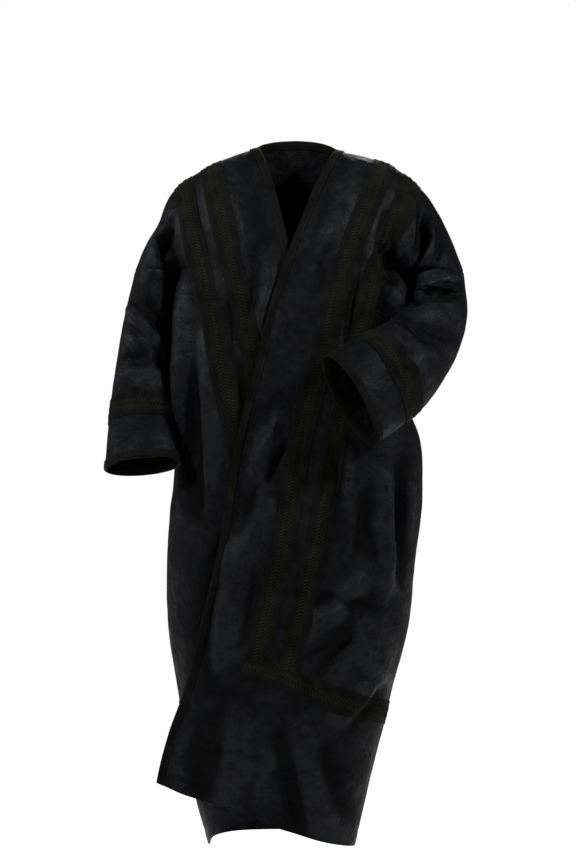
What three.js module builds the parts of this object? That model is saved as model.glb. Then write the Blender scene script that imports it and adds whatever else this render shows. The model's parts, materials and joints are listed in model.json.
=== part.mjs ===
// A collarless winter wrap cloak in bonded suede, worn: the left front crosses over the right,
// the right sleeve hangs and the left sleeve is bent across the belly.
// Millimetres, +Z up. The fronts face -Y and the wearer's left is +X.
// The origin is where the cloak sits on the wearer's shoulders, at the base of the neck.
import * as THREE from 'three';

// ---------------------------------------------------------------- driving sizes
const CLOTH = 3;              // bonded suede wall
const SEAM = 0.3;             // gap between two sewn pieces
const BRAID_WIDE = 44;        // woven braid
const BRAID_THICK = 1.2;
const BRAID_PITCH = 63;       // from the middle of the inner braid to the middle of the outer one
const BINDING_WIDE = 14;      // ribbed binding of the front, neck and cuff edges
const BINDING_THICK = 1.7;
const LAP = 9;                // how far the left front stands off the right one it lies on
const UNDERARM = -234;        // level of the armpits and of both sleeve seams
const HEM = -1330;            // level of the hem at the side seams and the back
const SIDE_Y = 5;             // the side seams' place between front and back
const BOXY = 2.7;             // roundness of the body's sections: 2 is an ellipse
const HEM_BRAID = 252;        // middle of the cross braid above the hem
const CUFF_BRAID = 101;       // middle of the sleeve braid above the cuff
const NECK_BOW = 8.5;         // how far the neck edges bow in from a straight line

// How finely the cloth is divided.
const UPPER_ROWS = 9;         // from the shoulder line to the underarm level
const LOWER_ROWS = 14;        // from the underarm level to the cross braid
const HEM_ROWS = 4;           // from the cross braid to the hem
const SIDE_COLUMNS = 8;       // from the outer braid to the side seam
const NECK_COLUMNS = 3;       // half of the back neck
const ARM_ROWS = 8;           // from the sleeve seam to the sleeve braid

// The body's sections: level, and how far they reach to the right, left, front and back.
const bodySections = [
  { z: -234, right: -213, left: 218, front: -148, back: 122 },
  { z: -270, right: -214, left: 211, front: -151, back: 125 },
  { z: -300, right: -215, left: 202, front: -154, back: 127 },
  { z: -345, right: -215, left: 188, front: -157, back: 129 },
  { z: -400, right: -215, left: 186, front: -160, back: 131 },
  { z: -450, right: -213, left: 200, front: -163, back: 133 },
  { z: -500, right: -212, left: 227, front: -165, back: 135 },
  { z: -560, right: -213, left: 250, front: -167, back: 137 },
  { z: -640, right: -223, left: 253, front: -168, back: 140 },
  { z: -700, right: -231, left: 251, front: -168, back: 142 },
  { z: -816, right: -236, left: 236, front: -167, back: 144 },
  { z: -916, right: -232, left: 225, front: -165, back: 145 },
  { z: -1056, right: -212, left: 189, front: -158, back: 145 },
  { z: -1169, right: -196, left: 159, front: -150, back: 144 },
  { z: -1248, right: -180, left: 140, front: -144, back: 142 },
  { z: -1340, right: -153, left: 116, front: -136, back: 140 },
];

// The free edges of the fronts below the underarm level, seen from the front.
const leftEdge = [
  { z: -234, x: -12 }, { z: -310, x: -35 }, { z: -392, x: -55 }, { z: -519, x: -89 },
  { z: -606, x: -106 }, { z: -746, x: -129 }, { z: -876, x: -158 }, { z: -993, x: -183 },
  { z: -1102, x: -222 }, { z: -1197, x: -246 }, { z: -1340, x: -264 },
];
const rightEdge = [
  { z: -234, x: 4 }, { z: -300, x: 22 }, { z: -367, x: 40 }, { z: -500, x: 70 },
  { z: -620, x: 90 }, { z: -755, x: 102 }, { z: -889, x: 108 }, { z: -1008, x: 106 },
  { z: -1100, x: 98 }, { z: -1213, x: 82 }, { z: -1340, x: 62 },
];

// The hems of the fronts: level by distance from the free edge, round the cloth.
const leftHem = [
  { run: 0, z: -1197 }, { run: 75, z: -1222 }, { run: 155, z: -1238 }, { run: 205, z: -1257 },
  { run: 275, z: -1283 }, { run: 390, z: -1314 }, { run: 480, z: HEM },
];
const rightHem = [
  { run: 0, z: -1240 }, { run: 70, z: -1247 }, { run: 140, z: -1260 }, { run: 175, z: -1271 },
  { run: 215, z: -1290 }, { run: 275, z: -1322 }, { run: 340, z: HEM },
];

// Middle of the inner braid by level, measured round the cloth from the free edge.
const braidRun = [
  { z: -234, run: 112 }, { z: -400, run: 117 }, { z: -1340, run: 117 },
];
const SHOULDER_BRAID_RUN = 94;

// The shoulder lines run from the side of the neck over the shoulder to the sleeve seam.
const leftShoulder = [
  { x: 92, y: 8, z: 0 }, { x: 150, y: 6, z: -14 }, { x: 202, y: 4, z: -35 },
  { x: 259, y: 3, z: -83 }, { x: 286, y: 3, z: -125 }, { x: 303, y: 4, z: -160 },
  { x: 324, y: 5, z: -210 }, { x: 333, y: SIDE_Y, z: UNDERARM },
];
const rightShoulder = [
  { x: -65, y: 8, z: 4 }, { x: -127, y: 6, z: -18 }, { x: -171, y: 5, z: -40 },
  { x: -209, y: 4, z: -65 }, { x: -234, y: 4, z: -93 }, { x: -254, y: 4, z: -144 },
  { x: -277, y: 5, z: -184 }, { x: -298, y: SIDE_Y, z: UNDERARM },
];
const leftNeck = [
  { x: 13, y: 72, z: 26 }, { x: 50, y: 64, z: 22 }, { x: 78, y: 42, z: 12 }, { x: 92, y: 8, z: 0 },
];
const rightNeck = [
  { x: 13, y: 72, z: 26 }, { x: -24, y: 64, z: 23 }, { x: -51, y: 42, z: 15 }, { x: -65, y: 8, z: 4 },
];

// Sleeve sections from seam to cuff: place on the sleeve (0 to 1), centre, half width, half depth,
// and two turns in degrees of the width: yaw brings its inner end forward, dip its outer end down.
const leftSections = [
  { at: 0, x: 277.5, y: SIDE_Y, z: UNDERARM, wide: 55.5, deep: 95, yaw: 0, dip: 0 },
  { at: 0.16, x: 277, y: -16, z: -298, wide: 60, deep: 90, yaw: 6, dip: 6 },
  { at: 0.32, x: 262, y: -64, z: -348, wide: 65, deep: 74, yaw: 24, dip: 24 },
  { at: 0.5, x: 232, y: -132, z: -390, wide: 77, deep: 64, yaw: 38, dip: 42 },
  { at: 0.68, x: 200, y: -188, z: -424, wide: 87, deep: 56, yaw: 32, dip: 52 },
  { at: 0.85, x: 152, y: -218, z: -456, wide: 92, deep: 52, yaw: 22, dip: 60 },
  { at: 1, x: 108, y: -244, z: -484, wide: 93, deep: 50, yaw: 18, dip: 65 },
];
const rightSections = [
  { at: 0, x: -258, y: SIDE_Y, z: UNDERARM, wide: 40, deep: 95, yaw: 0, dip: 0 },
  { at: 0.15, x: -264, y: -2, z: -290, wide: 44, deep: 90, yaw: 4, dip: 0 },
  { at: 0.35, x: -271, y: -16, z: -365, wide: 51, deep: 82, yaw: 9, dip: 0 },
  { at: 0.68, x: -277, y: -50, z: -485, wide: 62, deep: 64, yaw: 17, dip: 0 },
  { at: 1, x: -276, y: -96, z: -604, wide: 77, deep: 46, yaw: 24, dip: 0 },
];

// The largest folds, each a soft ridge (high > 0) or trough (high < 0) along a line that is seen
// from the front or from the back.
const folds = [
  { on: 'front', x0: -38, z0: -230, x1: -58, z1: -380, wide: 20, high: 5 },
  { on: 'front', x0: -108, z0: -300, x1: -104, z1: -400, wide: 16, high: -5 },
  { on: 'front', x0: -160, z0: -370, x1: -150, z1: -620, wide: 18, high: 8 },
  { on: 'front', x0: -188, z0: -440, x1: -176, z1: -700, wide: 15, high: -7 },
  { on: 'front', x0: -30, z0: -530, x1: -62, z1: -640, wide: 18, high: 6 },
  { on: 'front', x0: -48, z0: -660, x1: -112, z1: -800, wide: 20, high: 7 },
  { on: 'front', x0: -78, z0: -760, x1: -118, z1: -960, wide: 22, high: 6 },
  { on: 'front', x0: 42, z0: -850, x1: 148, z1: -868, wide: 16, high: -6 },
  { on: 'front', x0: 20, z0: -915, x1: 140, z1: -800, wide: 20, high: 7 },
  { on: 'front', x0: 56, z0: -985, x1: 105, z1: -915, wide: 16, high: -5 },
  { on: 'front', x0: 90, z0: -1075, x1: 150, z1: -1010, wide: 18, high: 6 },
  { on: 'front', x0: 208, z0: -590, x1: 204, z1: -810, wide: 15, high: -9 },
  { on: 'front', x0: 178, z0: -620, x1: 172, z1: -840, wide: 18, high: 5 },
  { on: 'front', x0: 20, z0: -1080, x1: 70, z1: -1290, wide: 26, high: 6 },
  { on: 'front', x0: -90, z0: -1060, x1: -120, z1: -1230, wide: 24, high: 5 },
  { on: 'front', x0: 218, z0: -130, x1: 216, z1: -232, wide: 12, high: 7 },
  { on: 'front', x0: 196, z0: -262, x1: 168, z1: -196, wide: 20, high: -8 },
  { on: 'front', x0: 250, z0: -110, x1: 240, z1: -205, wide: 15, high: -7 },
  { on: 'front', x0: -226, z0: -150, x1: -228, z1: -228, wide: 13, high: -8 },
  { on: 'front', x0: -206, z0: -262, x1: -204, z1: -560, wide: 14, high: 10 },
  { on: 'front', x0: 204, z0: -266, x1: 190, z1: -330, wide: 13, high: 6 },
  { on: 'front', x0: -190, z0: -120, x1: -180, z1: -260, wide: 20, high: 5 },
  { on: 'back', x0: 0, z0: -120, x1: -8, z1: -420, wide: 34, high: -8 },
  { on: 'back', x0: 120, z0: -260, x1: 105, z1: -760, wide: 28, high: 9 },
  { on: 'back', x0: -118, z0: -250, x1: -92, z1: -820, wide: 30, high: 8 },
  { on: 'back', x0: 40, z0: -560, x1: 62, z1: -1180, wide: 30, high: -8 },
  { on: 'back', x0: -40, z0: -640, x1: -22, z1: -1290, wide: 28, high: 8 },
  { on: 'back', x0: 178, z0: -330, x1: 150, z1: -620, wide: 20, high: -8 },
  { on: 'back', x0: -176, z0: -380, x1: -168, z1: -980, wide: 22, high: -7 },
  { on: 'back', x0: 210, z0: -110, x1: 190, z1: -240, wide: 18, high: 7 },
  { on: 'back', x0: -196, z0: -110, x1: -186, z1: -240, wide: 18, high: 7 },
  { on: 'rightSleeve', x0: -302, z0: -262, x1: -232, z1: -350, wide: 14, high: -7 },
  { on: 'rightSleeve', x0: -312, z0: -306, x1: -244, z1: -384, wide: 15, high: 6 },
  { on: 'rightSleeve', x0: -290, z0: -444, x1: -236, z1: -452, wide: 16, high: 5 },
  { on: 'rightSleeve', x0: -330, z0: -420, x1: -262, z1: -398, wide: 14, high: -5 },
  { on: 'leftSleeve', x0: 214, z0: -306, x1: 322, z1: -270, wide: 14, high: -7 },
  { on: 'leftSleeve', x0: 222, z0: -318, x1: 318, z1: -342, wide: 15, high: 7 },
  { on: 'leftSleeve', x0: 216, z0: -330, x1: 286, z1: -380, wide: 14, high: -7 },
  { on: 'leftSleeve', x0: 196, z0: -372, x1: 250, z1: -452, wide: 15, high: 5 },
];

// ---------------------------------------------------------------- small helpers
const lerp = (a, b, t) => a + (b - a) * t;
const clamp = (v, low, high) => Math.min(Math.max(v, low), high);
const ease = t => { const c = clamp(t, 0, 1); return c * c * (3 - 2 * c); };
const steps = (from, to, count) => Array.from({ length: count + 1 }, (_, i) => lerp(from, to, i / count));

// A smooth reading of a table: give a value of its key column, get every other column there.
function reader(rows, key) {
  const names = Object.keys(rows[0]).filter(name => name !== key);
  const last = rows.length - 1;
  const slope = (i, name) => {
    const a = rows[Math.max(i - 1, 0)];
    const b = rows[Math.min(i + 1, last)];
    return (b[name] - a[name]) / (b[key] - a[key]);
  };
  const rising = rows[last][key] > rows[0][key];
  return value => {
    let i = 0;
    while (i < last - 1 && (rising ? value > rows[i + 1][key] : value < rows[i + 1][key])) i += 1;
    const span = rows[i + 1][key] - rows[i][key];
    const t = clamp((value - rows[i][key]) / span, 0, 1);
    const read = {};
    for (const name of names) {
      const a = rows[i][name];
      const b = rows[i + 1][name];
      const bend = t * (1 - t) * span;
      read[name] = lerp(a, b, t * t * (3 - 2 * t))
        + bend * ((1 - t) * slope(i, name) - t * slope(i + 1, name));
    }
    return read;
  };
}

// A dense smooth line through the rows of a table of places.
function lineThrough(rows) {
  let run = 0;
  const placed = rows.map((row, i) => {
    if (i > 0) run += Math.hypot(row.x - rows[i - 1].x, row.y - rows[i - 1].y, row.z - rows[i - 1].z);
    return { ...row, run };
  });
  const at = reader(placed, 'run');
  return steps(0, run, 60).map(value => {
    const p = at(value);
    return new THREE.Vector3(p.x, p.y, p.z);
  });
}

function lengthsOf(line) {
  const lengths = [0];
  for (let i = 1; i < line.length; i += 1) lengths.push(lengths[i - 1] + line[i].distanceTo(line[i - 1]));
  return lengths;
}

// The points of a line at given distances from its start.
function pointsAt(line, distances) {
  const lengths = lengthsOf(line);
  const total = lengths[lengths.length - 1];
  return distances.map(wanted => {
    const d = clamp(wanted, 0, total);
    let i = 0;
    while (i < lengths.length - 2 && lengths[i + 1] < d) i += 1;
    return line[i].clone().lerp(line[i + 1], (d - lengths[i]) / (lengths[i + 1] - lengths[i]));
  });
}

// ---------------------------------------------------------------- the body's sections
const bodyAt = reader(bodySections, 'z');
const leftEdgeAt = reader(leftEdge, 'z');
const rightEdgeAt = reader(rightEdge, 'z');
const braidAt = reader(braidRun, 'z');

// One point of the section at a level: angle 0 is the side seam, 90 degrees the middle.
function sectionPoint(z, sign, depthName, angle) {
  const body = bodyAt(z);
  const middle = (body.left + body.right) / 2;
  const half = (body.left - body.right) / 2;
  const depth = depthName === 'front' ? body.front - SIDE_Y : body.back - SIDE_Y;
  const across = Math.sign(Math.cos(angle)) * Math.abs(Math.cos(angle)) ** (2 / BOXY);
  const y = SIDE_Y + depth * Math.abs(Math.sin(angle)) ** (2 / BOXY);
  return new THREE.Vector3(middle + sign * half * across, y, z);
}

// The section of a front, from its free edge to the side seam. Past the corner of the body the
// cloth leaves it and hangs straight on, as stiff cloth does.
const LEAVE = 0.55;
function frontLine(sign, z) {
  const body = bodyAt(z);
  const middle = (body.left + body.right) / 2;
  const half = (body.left - body.right) / 2;
  const edge = sign * ((sign > 0 ? leftEdgeAt(z).x : rightEdgeAt(z).x) - middle) / half;
  const stop = Math.max(edge, -LEAVE);
  const last = Math.acos(Math.sign(stop) * Math.abs(stop) ** (BOXY / 2));
  const line = steps(0, last, 90).map(angle => sectionPoint(z, sign, 'front', angle));
  if (edge < -LEAVE) {
    const end = line[line.length - 1];
    const before = line[line.length - 2];
    const way = end.clone().sub(before);
    way.multiplyScalar((stop - edge) * half / Math.abs(way.x));
    line.push(end.clone().add(way));
  }
  return line.reverse();
}

function backLine(sign, z) {
  return steps(Math.PI / 2, 0, 90).map(angle => sectionPoint(z, sign, 'back', angle));
}

// Distances of the columns of a front from its free edge: binding, both braids, then even steps.
function frontRuns(innerBraid, total) {
  const half = BRAID_WIDE / 2;
  const outerBraid = innerBraid + BRAID_PITCH;
  const start = outerBraid + half;
  return [0, BINDING_WIDE, innerBraid / 2, innerBraid - half, innerBraid + half, outerBraid - half,
    ...steps(start, total, SIDE_COLUMNS)];
}
const BRAIDS = { inner: 3, outer: 5 };   // the first column of each braid

// ---------------------------------------------------------------- sleeves
const armReaders = { left: reader(leftSections, 'at'), right: reader(rightSections, 'at') };
const RAD = Math.PI / 180;

// Centre and axes of a sleeve's section: the width's outer end and the depth's front end.
function armFrame(side, at) {
  const sign = side === 'left' ? 1 : -1;
  const read = armReaders[side];
  const s = read(at);
  const a = read(Math.max(at - 0.02, 0));
  const b = read(Math.min(at + 0.02, 1));
  const down = new THREE.Vector3(0, 0, -1);
  const way = new THREE.Vector3(b.x - a.x, b.y - a.y, b.z - a.z).normalize();
  const along = down.clone().lerp(way, ease(at / 0.25)).normalize();
  const yaw = s.yaw * RAD;
  const dip = s.dip * RAD;
  const wide = new THREE.Vector3(sign * Math.cos(yaw), Math.sin(yaw), 0).multiplyScalar(Math.cos(dip));
  wide.addScaledVector(down, Math.sin(dip));
  wide.addScaledVector(along, -wide.dot(along)).normalize();
  const deep = wide.clone().cross(along).multiplyScalar(-sign);
  return { s, wide, deep };
}

// A point of a sleeve: angle 0 is its outer side, 90 degrees its front, 180 its inner side.
function armPoint(side, at, angle) {
  const { s, wide, deep } = armFrame(side, at);
  return new THREE.Vector3(s.x, s.y, s.z)
    .addScaledVector(wide, s.wide * Math.cos(angle))
    .addScaledVector(deep, s.deep * Math.sin(angle));
}

// ---------------------------------------------------------------- grids of cloth
// A grid is rows of points, and turn is 1 or -1 so that (down x across) * turn points outwards.

// The upper part of a front or of half the back: from the shoulder line at t = 0 to just above the
// underarm level at t = 1. Its last column is half of the sleeve seam. Near the neck a column is a
// quarter of an ellipse, at the sleeve it is half of one, and at the nape it falls straight.
function upperRows(side, facing, tops, bottoms, neckColumns) {
  const sign = side === 'left' ? 1 : -1;
  const last = tops.length - 1;
  const depth = armFrame(side, 0).s.deep;
  return steps(0, 1, UPPER_ROWS).slice(0, -1).map(t => tops.map((top, j) => {
    if (j === last) return armPoint(side, 0, facing * Math.PI * t);
    const bottom = bottoms[j];
    const outer = ease(((j - neckColumns) / (last - neckColumns) - 0.35) / 0.65);
    const straight = neckColumns > 0 ? 1 - ease(j / (neckColumns + 1)) : 0;
    const quarterFall = lerp(1 - Math.cos(t * Math.PI / 2), t, straight);
    const quarterDepth = lerp(Math.sin(t * Math.PI / 2), t, straight / 2);
    const fall = lerp(quarterFall, (1 - Math.cos(t * Math.PI)) / 2, outer);
    const bodyY = lerp(top.y, bottom.y, quarterDepth);
    const armY = lerp(top.y, bottom.y, fall) - facing * depth * Math.sin(t * Math.PI);
    const bow = facing > 0 ? NECK_BOW * Math.sin(t * Math.PI) * Math.max(1 - j / 4, 0) : 0;
    return new THREE.Vector3(lerp(top.x, bottom.x, fall) - sign * bow, lerp(bodyY, armY, outer),
      lerp(top.z, bottom.z, fall));
  }));
}

// Levels of the lower rows of a column that ends at a given hem level.
function lowerLevels(hem) {
  const half = BRAID_WIDE / 2;
  return [...steps(UNDERARM, hem + HEM_BRAID + half, LOWER_ROWS),
    ...steps(hem + HEM_BRAID - half, hem, HEM_ROWS)];
}
const BRAID_ROW = UPPER_ROWS + LOWER_ROWS;   // the row along the cross braid's upper edge

function frontGrid(side) {
  const sign = side === 'left' ? 1 : -1;
  const shoulder = lineThrough(side === 'left' ? leftShoulder : rightShoulder);
  const hemAt = reader(side === 'left' ? leftHem : rightHem, 'run');
  const runsAt = z => frontRuns(braidAt(z).run, lengthsOf(frontLine(sign, z)).at(-1));
  const tops = pointsAt(shoulder, frontRuns(SHOULDER_BRAID_RUN, lengthsOf(shoulder).at(-1)));
  const last = tops.length - 1;
  const hemRuns = runsAt(HEM + BRAID_WIDE);
  const columns = tops.map((_, j) => {
    const hem = j === last ? HEM : hemAt(hemRuns[j]).z;
    return lowerLevels(hem).map(z => pointsAt(frontLine(sign, z), [runsAt(z)[j]])[0]);
  });
  columns[last][0] = armPoint(side, 0, Math.PI);
  const upper = upperRows(side, 1, tops, columns.map(column => column[0]), 0);
  const lower = columns[0].map((_, i) => columns.map(column => column[i]));
  return { name: `${side}_front`, on: 'front', points: [...upper, ...lower], turn: sign };
}

// Half the back, from its middle to the side seam.
const NECK_SHARE = 0.27;   // how much of the back's half width hangs from the neck
function backHalf(side) {
  const sign = side === 'left' ? 1 : -1;
  const shoulder = lineThrough(side === 'left' ? leftShoulder : rightShoulder);
  const neck = lineThrough(side === 'left' ? leftNeck : rightNeck);
  const total = lengthsOf(shoulder).at(-1);
  const runs = frontRuns(SHOULDER_BRAID_RUN, total);
  const neckTops = pointsAt(neck, steps(0, lengthsOf(neck).at(-1), NECK_COLUMNS)).slice(0, -1);
  const tops = [...neckTops, ...pointsAt(shoulder, runs)];
  const shares = [...steps(0, NECK_SHARE, NECK_COLUMNS).slice(0, -1),
    ...runs.map(run => lerp(NECK_SHARE, 1, run / total))];
  const columns = shares.map(share => lowerLevels(HEM).map(z => {
    const line = backLine(sign, z);
    return pointsAt(line, [share * lengthsOf(line).at(-1)])[0];
  }));
  columns.at(-1)[0] = armPoint(side, 0, Math.PI);
  const upper = upperRows(side, -1, tops, columns.map(column => column[0]), NECK_COLUMNS);
  const lower = columns[0].map((_, i) => columns.map(column => column[i]));
  return [...upper, ...lower];
}

function backGrid() {
  const left = backHalf('left');
  const right = backHalf('right');
  const points = left.map((row, i) => [...row.slice(1).reverse(), ...right[i]]);
  return { name: 'back', on: 'back', points, turn: 1 };
}

// A sleeve: closed rings from the seam to the cuff, with rows at the edges of its braid and binding.
function sleeveGrid(side) {
  const centres = steps(0, 1, 60).map(at => armFrame(side, at).s).map(s => new THREE.Vector3(s.x, s.y, s.z));
  const length = lengthsOf(centres).at(-1);
  const half = BRAID_WIDE / 2;
  const runs = [...steps(0, length - CUFF_BRAID - half, ARM_ROWS), length - CUFF_BRAID + half,
    length - (CUFF_BRAID - half + BINDING_WIDE) / 2, length - BINDING_WIDE, length];
  const points = runs.map(run => steps(0, 2, 2 * UPPER_ROWS).slice(0, -1)
    .map(turn => armPoint(side, run / length, turn * Math.PI)));
  return { name: `${side}_sleeve`, on: `${side}Sleeve`, points, turn: side === 'left' ? -1 : 1, closed: true };
}
const SLEEVE_BRAID_ROW = ARM_ROWS;

const grids = {
  back: backGrid(),
  leftFront: frontGrid('left'),
  rightFront: frontGrid('right'),
  leftSleeve: sleeveGrid('left'),
  rightSleeve: sleeveGrid('right'),
};

// ---------------------------------------------------------------- folds, seams and normals
const armpits = ['left', 'right'].map(side => armPoint(side, 0, Math.PI));

// Points that two pieces share at a seam are one group, so both get the same normal and folds.
function seamGroups() {
  const groups = new Map();
  for (const grid of Object.values(grids)) {
    grid.points.forEach((row, i) => row.forEach((point, j) => {
      const key = [point.x, point.y, point.z].map(v => Math.round(v * 20)).join();
      if (!groups.has(key)) groups.set(key, []);
      groups.get(key).push({ grid, i, j, point });
    }));
  }
  return [...groups.values()];
}

function cellNormal(grid, i, j) {
  const rows = grid.points;
  const wide = rows[0].length;
  const before = grid.closed ? (j + wide - 1) % wide : Math.max(j - 1, 0);
  const after = grid.closed ? (j + 1) % wide : Math.min(j + 1, wide - 1);
  const down = rows[Math.min(i + 1, rows.length - 1)][j].clone().sub(rows[Math.max(i - 1, 0)][j]);
  const across = rows[i][after].clone().sub(rows[i][before]);
  return down.cross(across).normalize().multiplyScalar(grid.turn);
}

function setNormals(groups) {
  for (const grid of Object.values(grids)) grid.normals = grid.points.map(row => row.map(() => null));
  for (const group of groups) {
    const normal = new THREE.Vector3();
    for (const { grid, i, j } of group) normal.add(cellNormal(grid, i, j));
    if (armpits.some(armpit => armpit.distanceTo(group[0].point) < 1)) normal.set(0, 0, -1);
    normal.normalize();
    for (const { grid, i, j } of group) grid.normals[i][j] = normal;
  }
}

function foldHeight(on, point, normal) {
  const toBack = on === 'back' ? 1 : -1;
  const faces = ease((toBack * normal.y - 0.1) / 0.5);
  let high = 0;
  for (const fold of folds.filter(row => row.on === on)) {
    const dx = fold.x1 - fold.x0;
    const dz = fold.z1 - fold.z0;
    const t = ((point.x - fold.x0) * dx + (point.z - fold.z0) * dz) / (dx * dx + dz * dz);
    const c = clamp(t, 0, 1);
    const off = Math.hypot(point.x - fold.x0 - c * dx, point.z - fold.z0 - c * dz) / fold.wide;
    high += fold.high * Math.exp(-off * off) * lerp(0.75, 1, Math.sin(c * Math.PI));
  }
  return high * faces;
}

// The left front stands off the right one where it lies on it.
function lapHeight(grid, point) {
  if (grid !== grids.leftFront) return 0;
  const under = rightEdgeAt(point.z).x;
  return LAP * ease((-150 - point.z) / 45) * (1 - ease((point.x - under - 15) / 80));
}

function shapeCloth() {
  const groups = seamGroups();
  setNormals(groups);
  for (const group of groups) {
    const heights = group.map(({ grid, i, j, point }) => (
      foldHeight(grid.on, point, grid.normals[i][j]) + lapHeight(grid, point)));
    const high = heights.reduce((sum, h) => sum + h, 0) / heights.length;
    const moved = group[0].point.clone().addScaledVector(group[0].grid.normals[group[0].i][group[0].j], high);
    for (const { point } of group) point.copy(moved);
  }
  setNormals(groups);
}
shapeCloth();

// Sewn pieces keep a gap along their seams: each moves back from its shared edge.
function openSeams() {
  const gap = SEAM / 2;
  for (const [grid, back] of [[grids.leftFront, -1], [grids.rightFront, -1], [grids.back, 1]]) {
    const last = grid.points[0].length - 1;
    const seamColumns = grid === grids.back ? [0, last] : [last];
    grid.points.forEach((row, i) => row.forEach((point, j) => {
      const atShoulder = i === 0;
      const atSide = seamColumns.includes(j);
      if (atShoulder || (atSide && i >= UPPER_ROWS)) point.y += back * gap;
      if (atSide && i <= UPPER_ROWS) point.z += gap;
    }));
  }
  for (const grid of [grids.leftSleeve, grids.rightSleeve]) {
    for (const point of grid.points[0]) point.z -= gap;
  }
}
openSeams();

// ---------------------------------------------------------------- solids
function solid(name, corners, faces, material) {
  let volume = 0;
  for (const [a, b, c] of faces) volume += corners[a].dot(corners[b].clone().cross(corners[c]));
  const index = faces.flatMap(([a, b, c]) => (volume > 0 ? [a, b, c] : [a, c, b]));
  const geometry = new THREE.BufferGeometry();
  geometry.setAttribute('position', new THREE.Float32BufferAttribute(corners.flatMap(p => p.toArray()), 3));
  geometry.setIndex(index);
  geometry.computeVertexNormals();
  const mesh = new THREE.Mesh(geometry, material);
  mesh.name = name;
  return mesh;
}

// A wall over part of a grid, between two distances out from its points. Its last row can stop
// short of the grid's.
function wall(name, grid, rows, columns, low, high, material, short = 0) {
  const across = columns.length;
  const closed = Boolean(grid.closed);
  const corners = [];
  for (const distance of [high, low]) {
    for (const i of rows) {
      for (const j of columns) {
        const corner = grid.points[i][j].clone().addScaledVector(grid.normals[i][j], distance);
        if (short > 0 && i === rows.at(-1)) {
          const back = grid.points[i - 1][j].clone().sub(grid.points[i][j]).normalize();
          corner.addScaledVector(back, short);
        }
        corners.push(corner);
      }
    }
  }
  const layer = rows.length * across;
  const faces = [];
  const quad = (a, b, c, d) => faces.push([a, b, c], [a, c, d]);
  const side = (a, b, c, d) => {
    if (corners[a].distanceTo(corners[c]) < corners[b].distanceTo(corners[d])) quad(a, b, c, d);
    else quad(b, c, d, a);
  };
  for (let i = 0; i < rows.length - 1; i += 1) {
    for (let j = 0; j < (closed ? across : across - 1); j += 1) {
      const next = (j + 1) % across;
      const [a, b, c, d] = [i * across + j, (i + 1) * across + j, (i + 1) * across + next, i * across + next];
      quad(a, b, c, d);
      faces.push([a + layer, c + layer, b + layer], [a + layer, d + layer, c + layer]);
      if (i === 0) side(d, d + layer, a + layer, a);
      if (i === rows.length - 2) side(b, b + layer, c + layer, c);
      if (!closed && j === 0) side(a, a + layer, b + layer, b);
      if (!closed && next === across - 1) side(c, c + layer, d + layer, d);
    }
  }
  return solid(name, corners, faces, material);
}

// A binding: a strip folded round an edge of the cloth. A station has the edge's point, the point
// one binding's width inside it, and the two normals. Its faces lean as the cloth's do: leaning is
// true where they run from an inside point to the next edge point. Along the cloth's cut edge they
// take the shorter diagonal.
function binding(name, stations, closed, leaning, material) {
  const clear = SEAM;
  const far = SEAM + BINDING_THICK;
  const corners = stations.flatMap(({ edge, inside, edgeNormal, insideNormal }) => {
    const out = edge.clone().sub(inside).normalize();
    const at = (point, normal, beyond, high) => point.clone().addScaledVector(out, beyond).addScaledVector(normal, high);
    return [
      at(inside, insideNormal, 0, far), at(edge, edgeNormal, far, far),
      at(edge, edgeNormal, far, -CLOTH - far), at(inside, insideNormal, 0, -CLOTH - far),
      at(inside, insideNormal, 0, -CLOTH - clear), at(edge, edgeNormal, clear, -CLOTH - clear),
      at(edge, edgeNormal, clear, clear), at(inside, insideNormal, 0, clear),
    ];
  });
  const count = stations.length;
  const sides = 8;
  const faces = [];
  const rim = stations.map(({ edge, edgeNormal }) => (
    { outer: edge, inner: edge.clone().addScaledVector(edgeNormal, -CLOTH) }));
  for (let i = 0; i < (closed ? count : count - 1); i += 1) {
    const next = (i + 1) % count;
    const outerToInner = rim[i].outer.distanceTo(rim[next].inner) < rim[i].inner.distanceTo(rim[next].outer);
    for (let k = 0; k < sides; k += 1) {
      const k2 = (k + 1) % sides;
      const [a, b, c, d] = [i * sides + k, i * sides + k2, next * sides + k2, next * sides + k];
      let first = [2, 6].includes(k) !== leaning;
      if (k === 1 || k === 5) first = (k === 1) === outerToInner;
      faces.push(...(first ? [[a, b, c], [a, c, d]] : [[a, b, d], [b, c, d]]));
    }
  }
  if (!closed) {
    for (const [start, turned] of [[0, false], [(count - 1) * sides, true]]) {
      for (const [a, b, c, d] of [[0, 1, 6, 7], [1, 2, 5, 6], [2, 3, 4, 5]]) {
        const [p, q, r, s] = [a, b, c, d].map(k => k + start);
        faces.push(...(turned ? [[p, q, r], [p, r, s]] : [[p, r, q], [p, s, r]]));
      }
    }
  }
  return solid(name, corners, faces, material);
}

// ---------------------------------------------------------------- the cloak
const cloth = new THREE.MeshStandardMaterial({ color: 0x17181b, roughness: 0.9, metalness: 0 });
const braid = new THREE.MeshStandardMaterial({ color: 0x2a2a25, roughness: 0.8, metalness: 0 });
const ribbing = new THREE.MeshStandardMaterial({ color: 0x24241f, roughness: 0.85, metalness: 0 });
const indices = (from, to) => Array.from({ length: to - from + 1 }, (_, k) => from + k);

function panel(grid) {
  const rows = indices(0, grid.points.length - 1);
  const columns = indices(0, grid.points[0].length - 1);
  return wall(grid.name, grid, rows, columns, -CLOTH, 0, cloth);
}

function braidOn(name, grid, rows, columns, short = 0) {
  return wall(name, grid, rows, columns, SEAM, SEAM + BRAID_THICK, braid, short);
}

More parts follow.
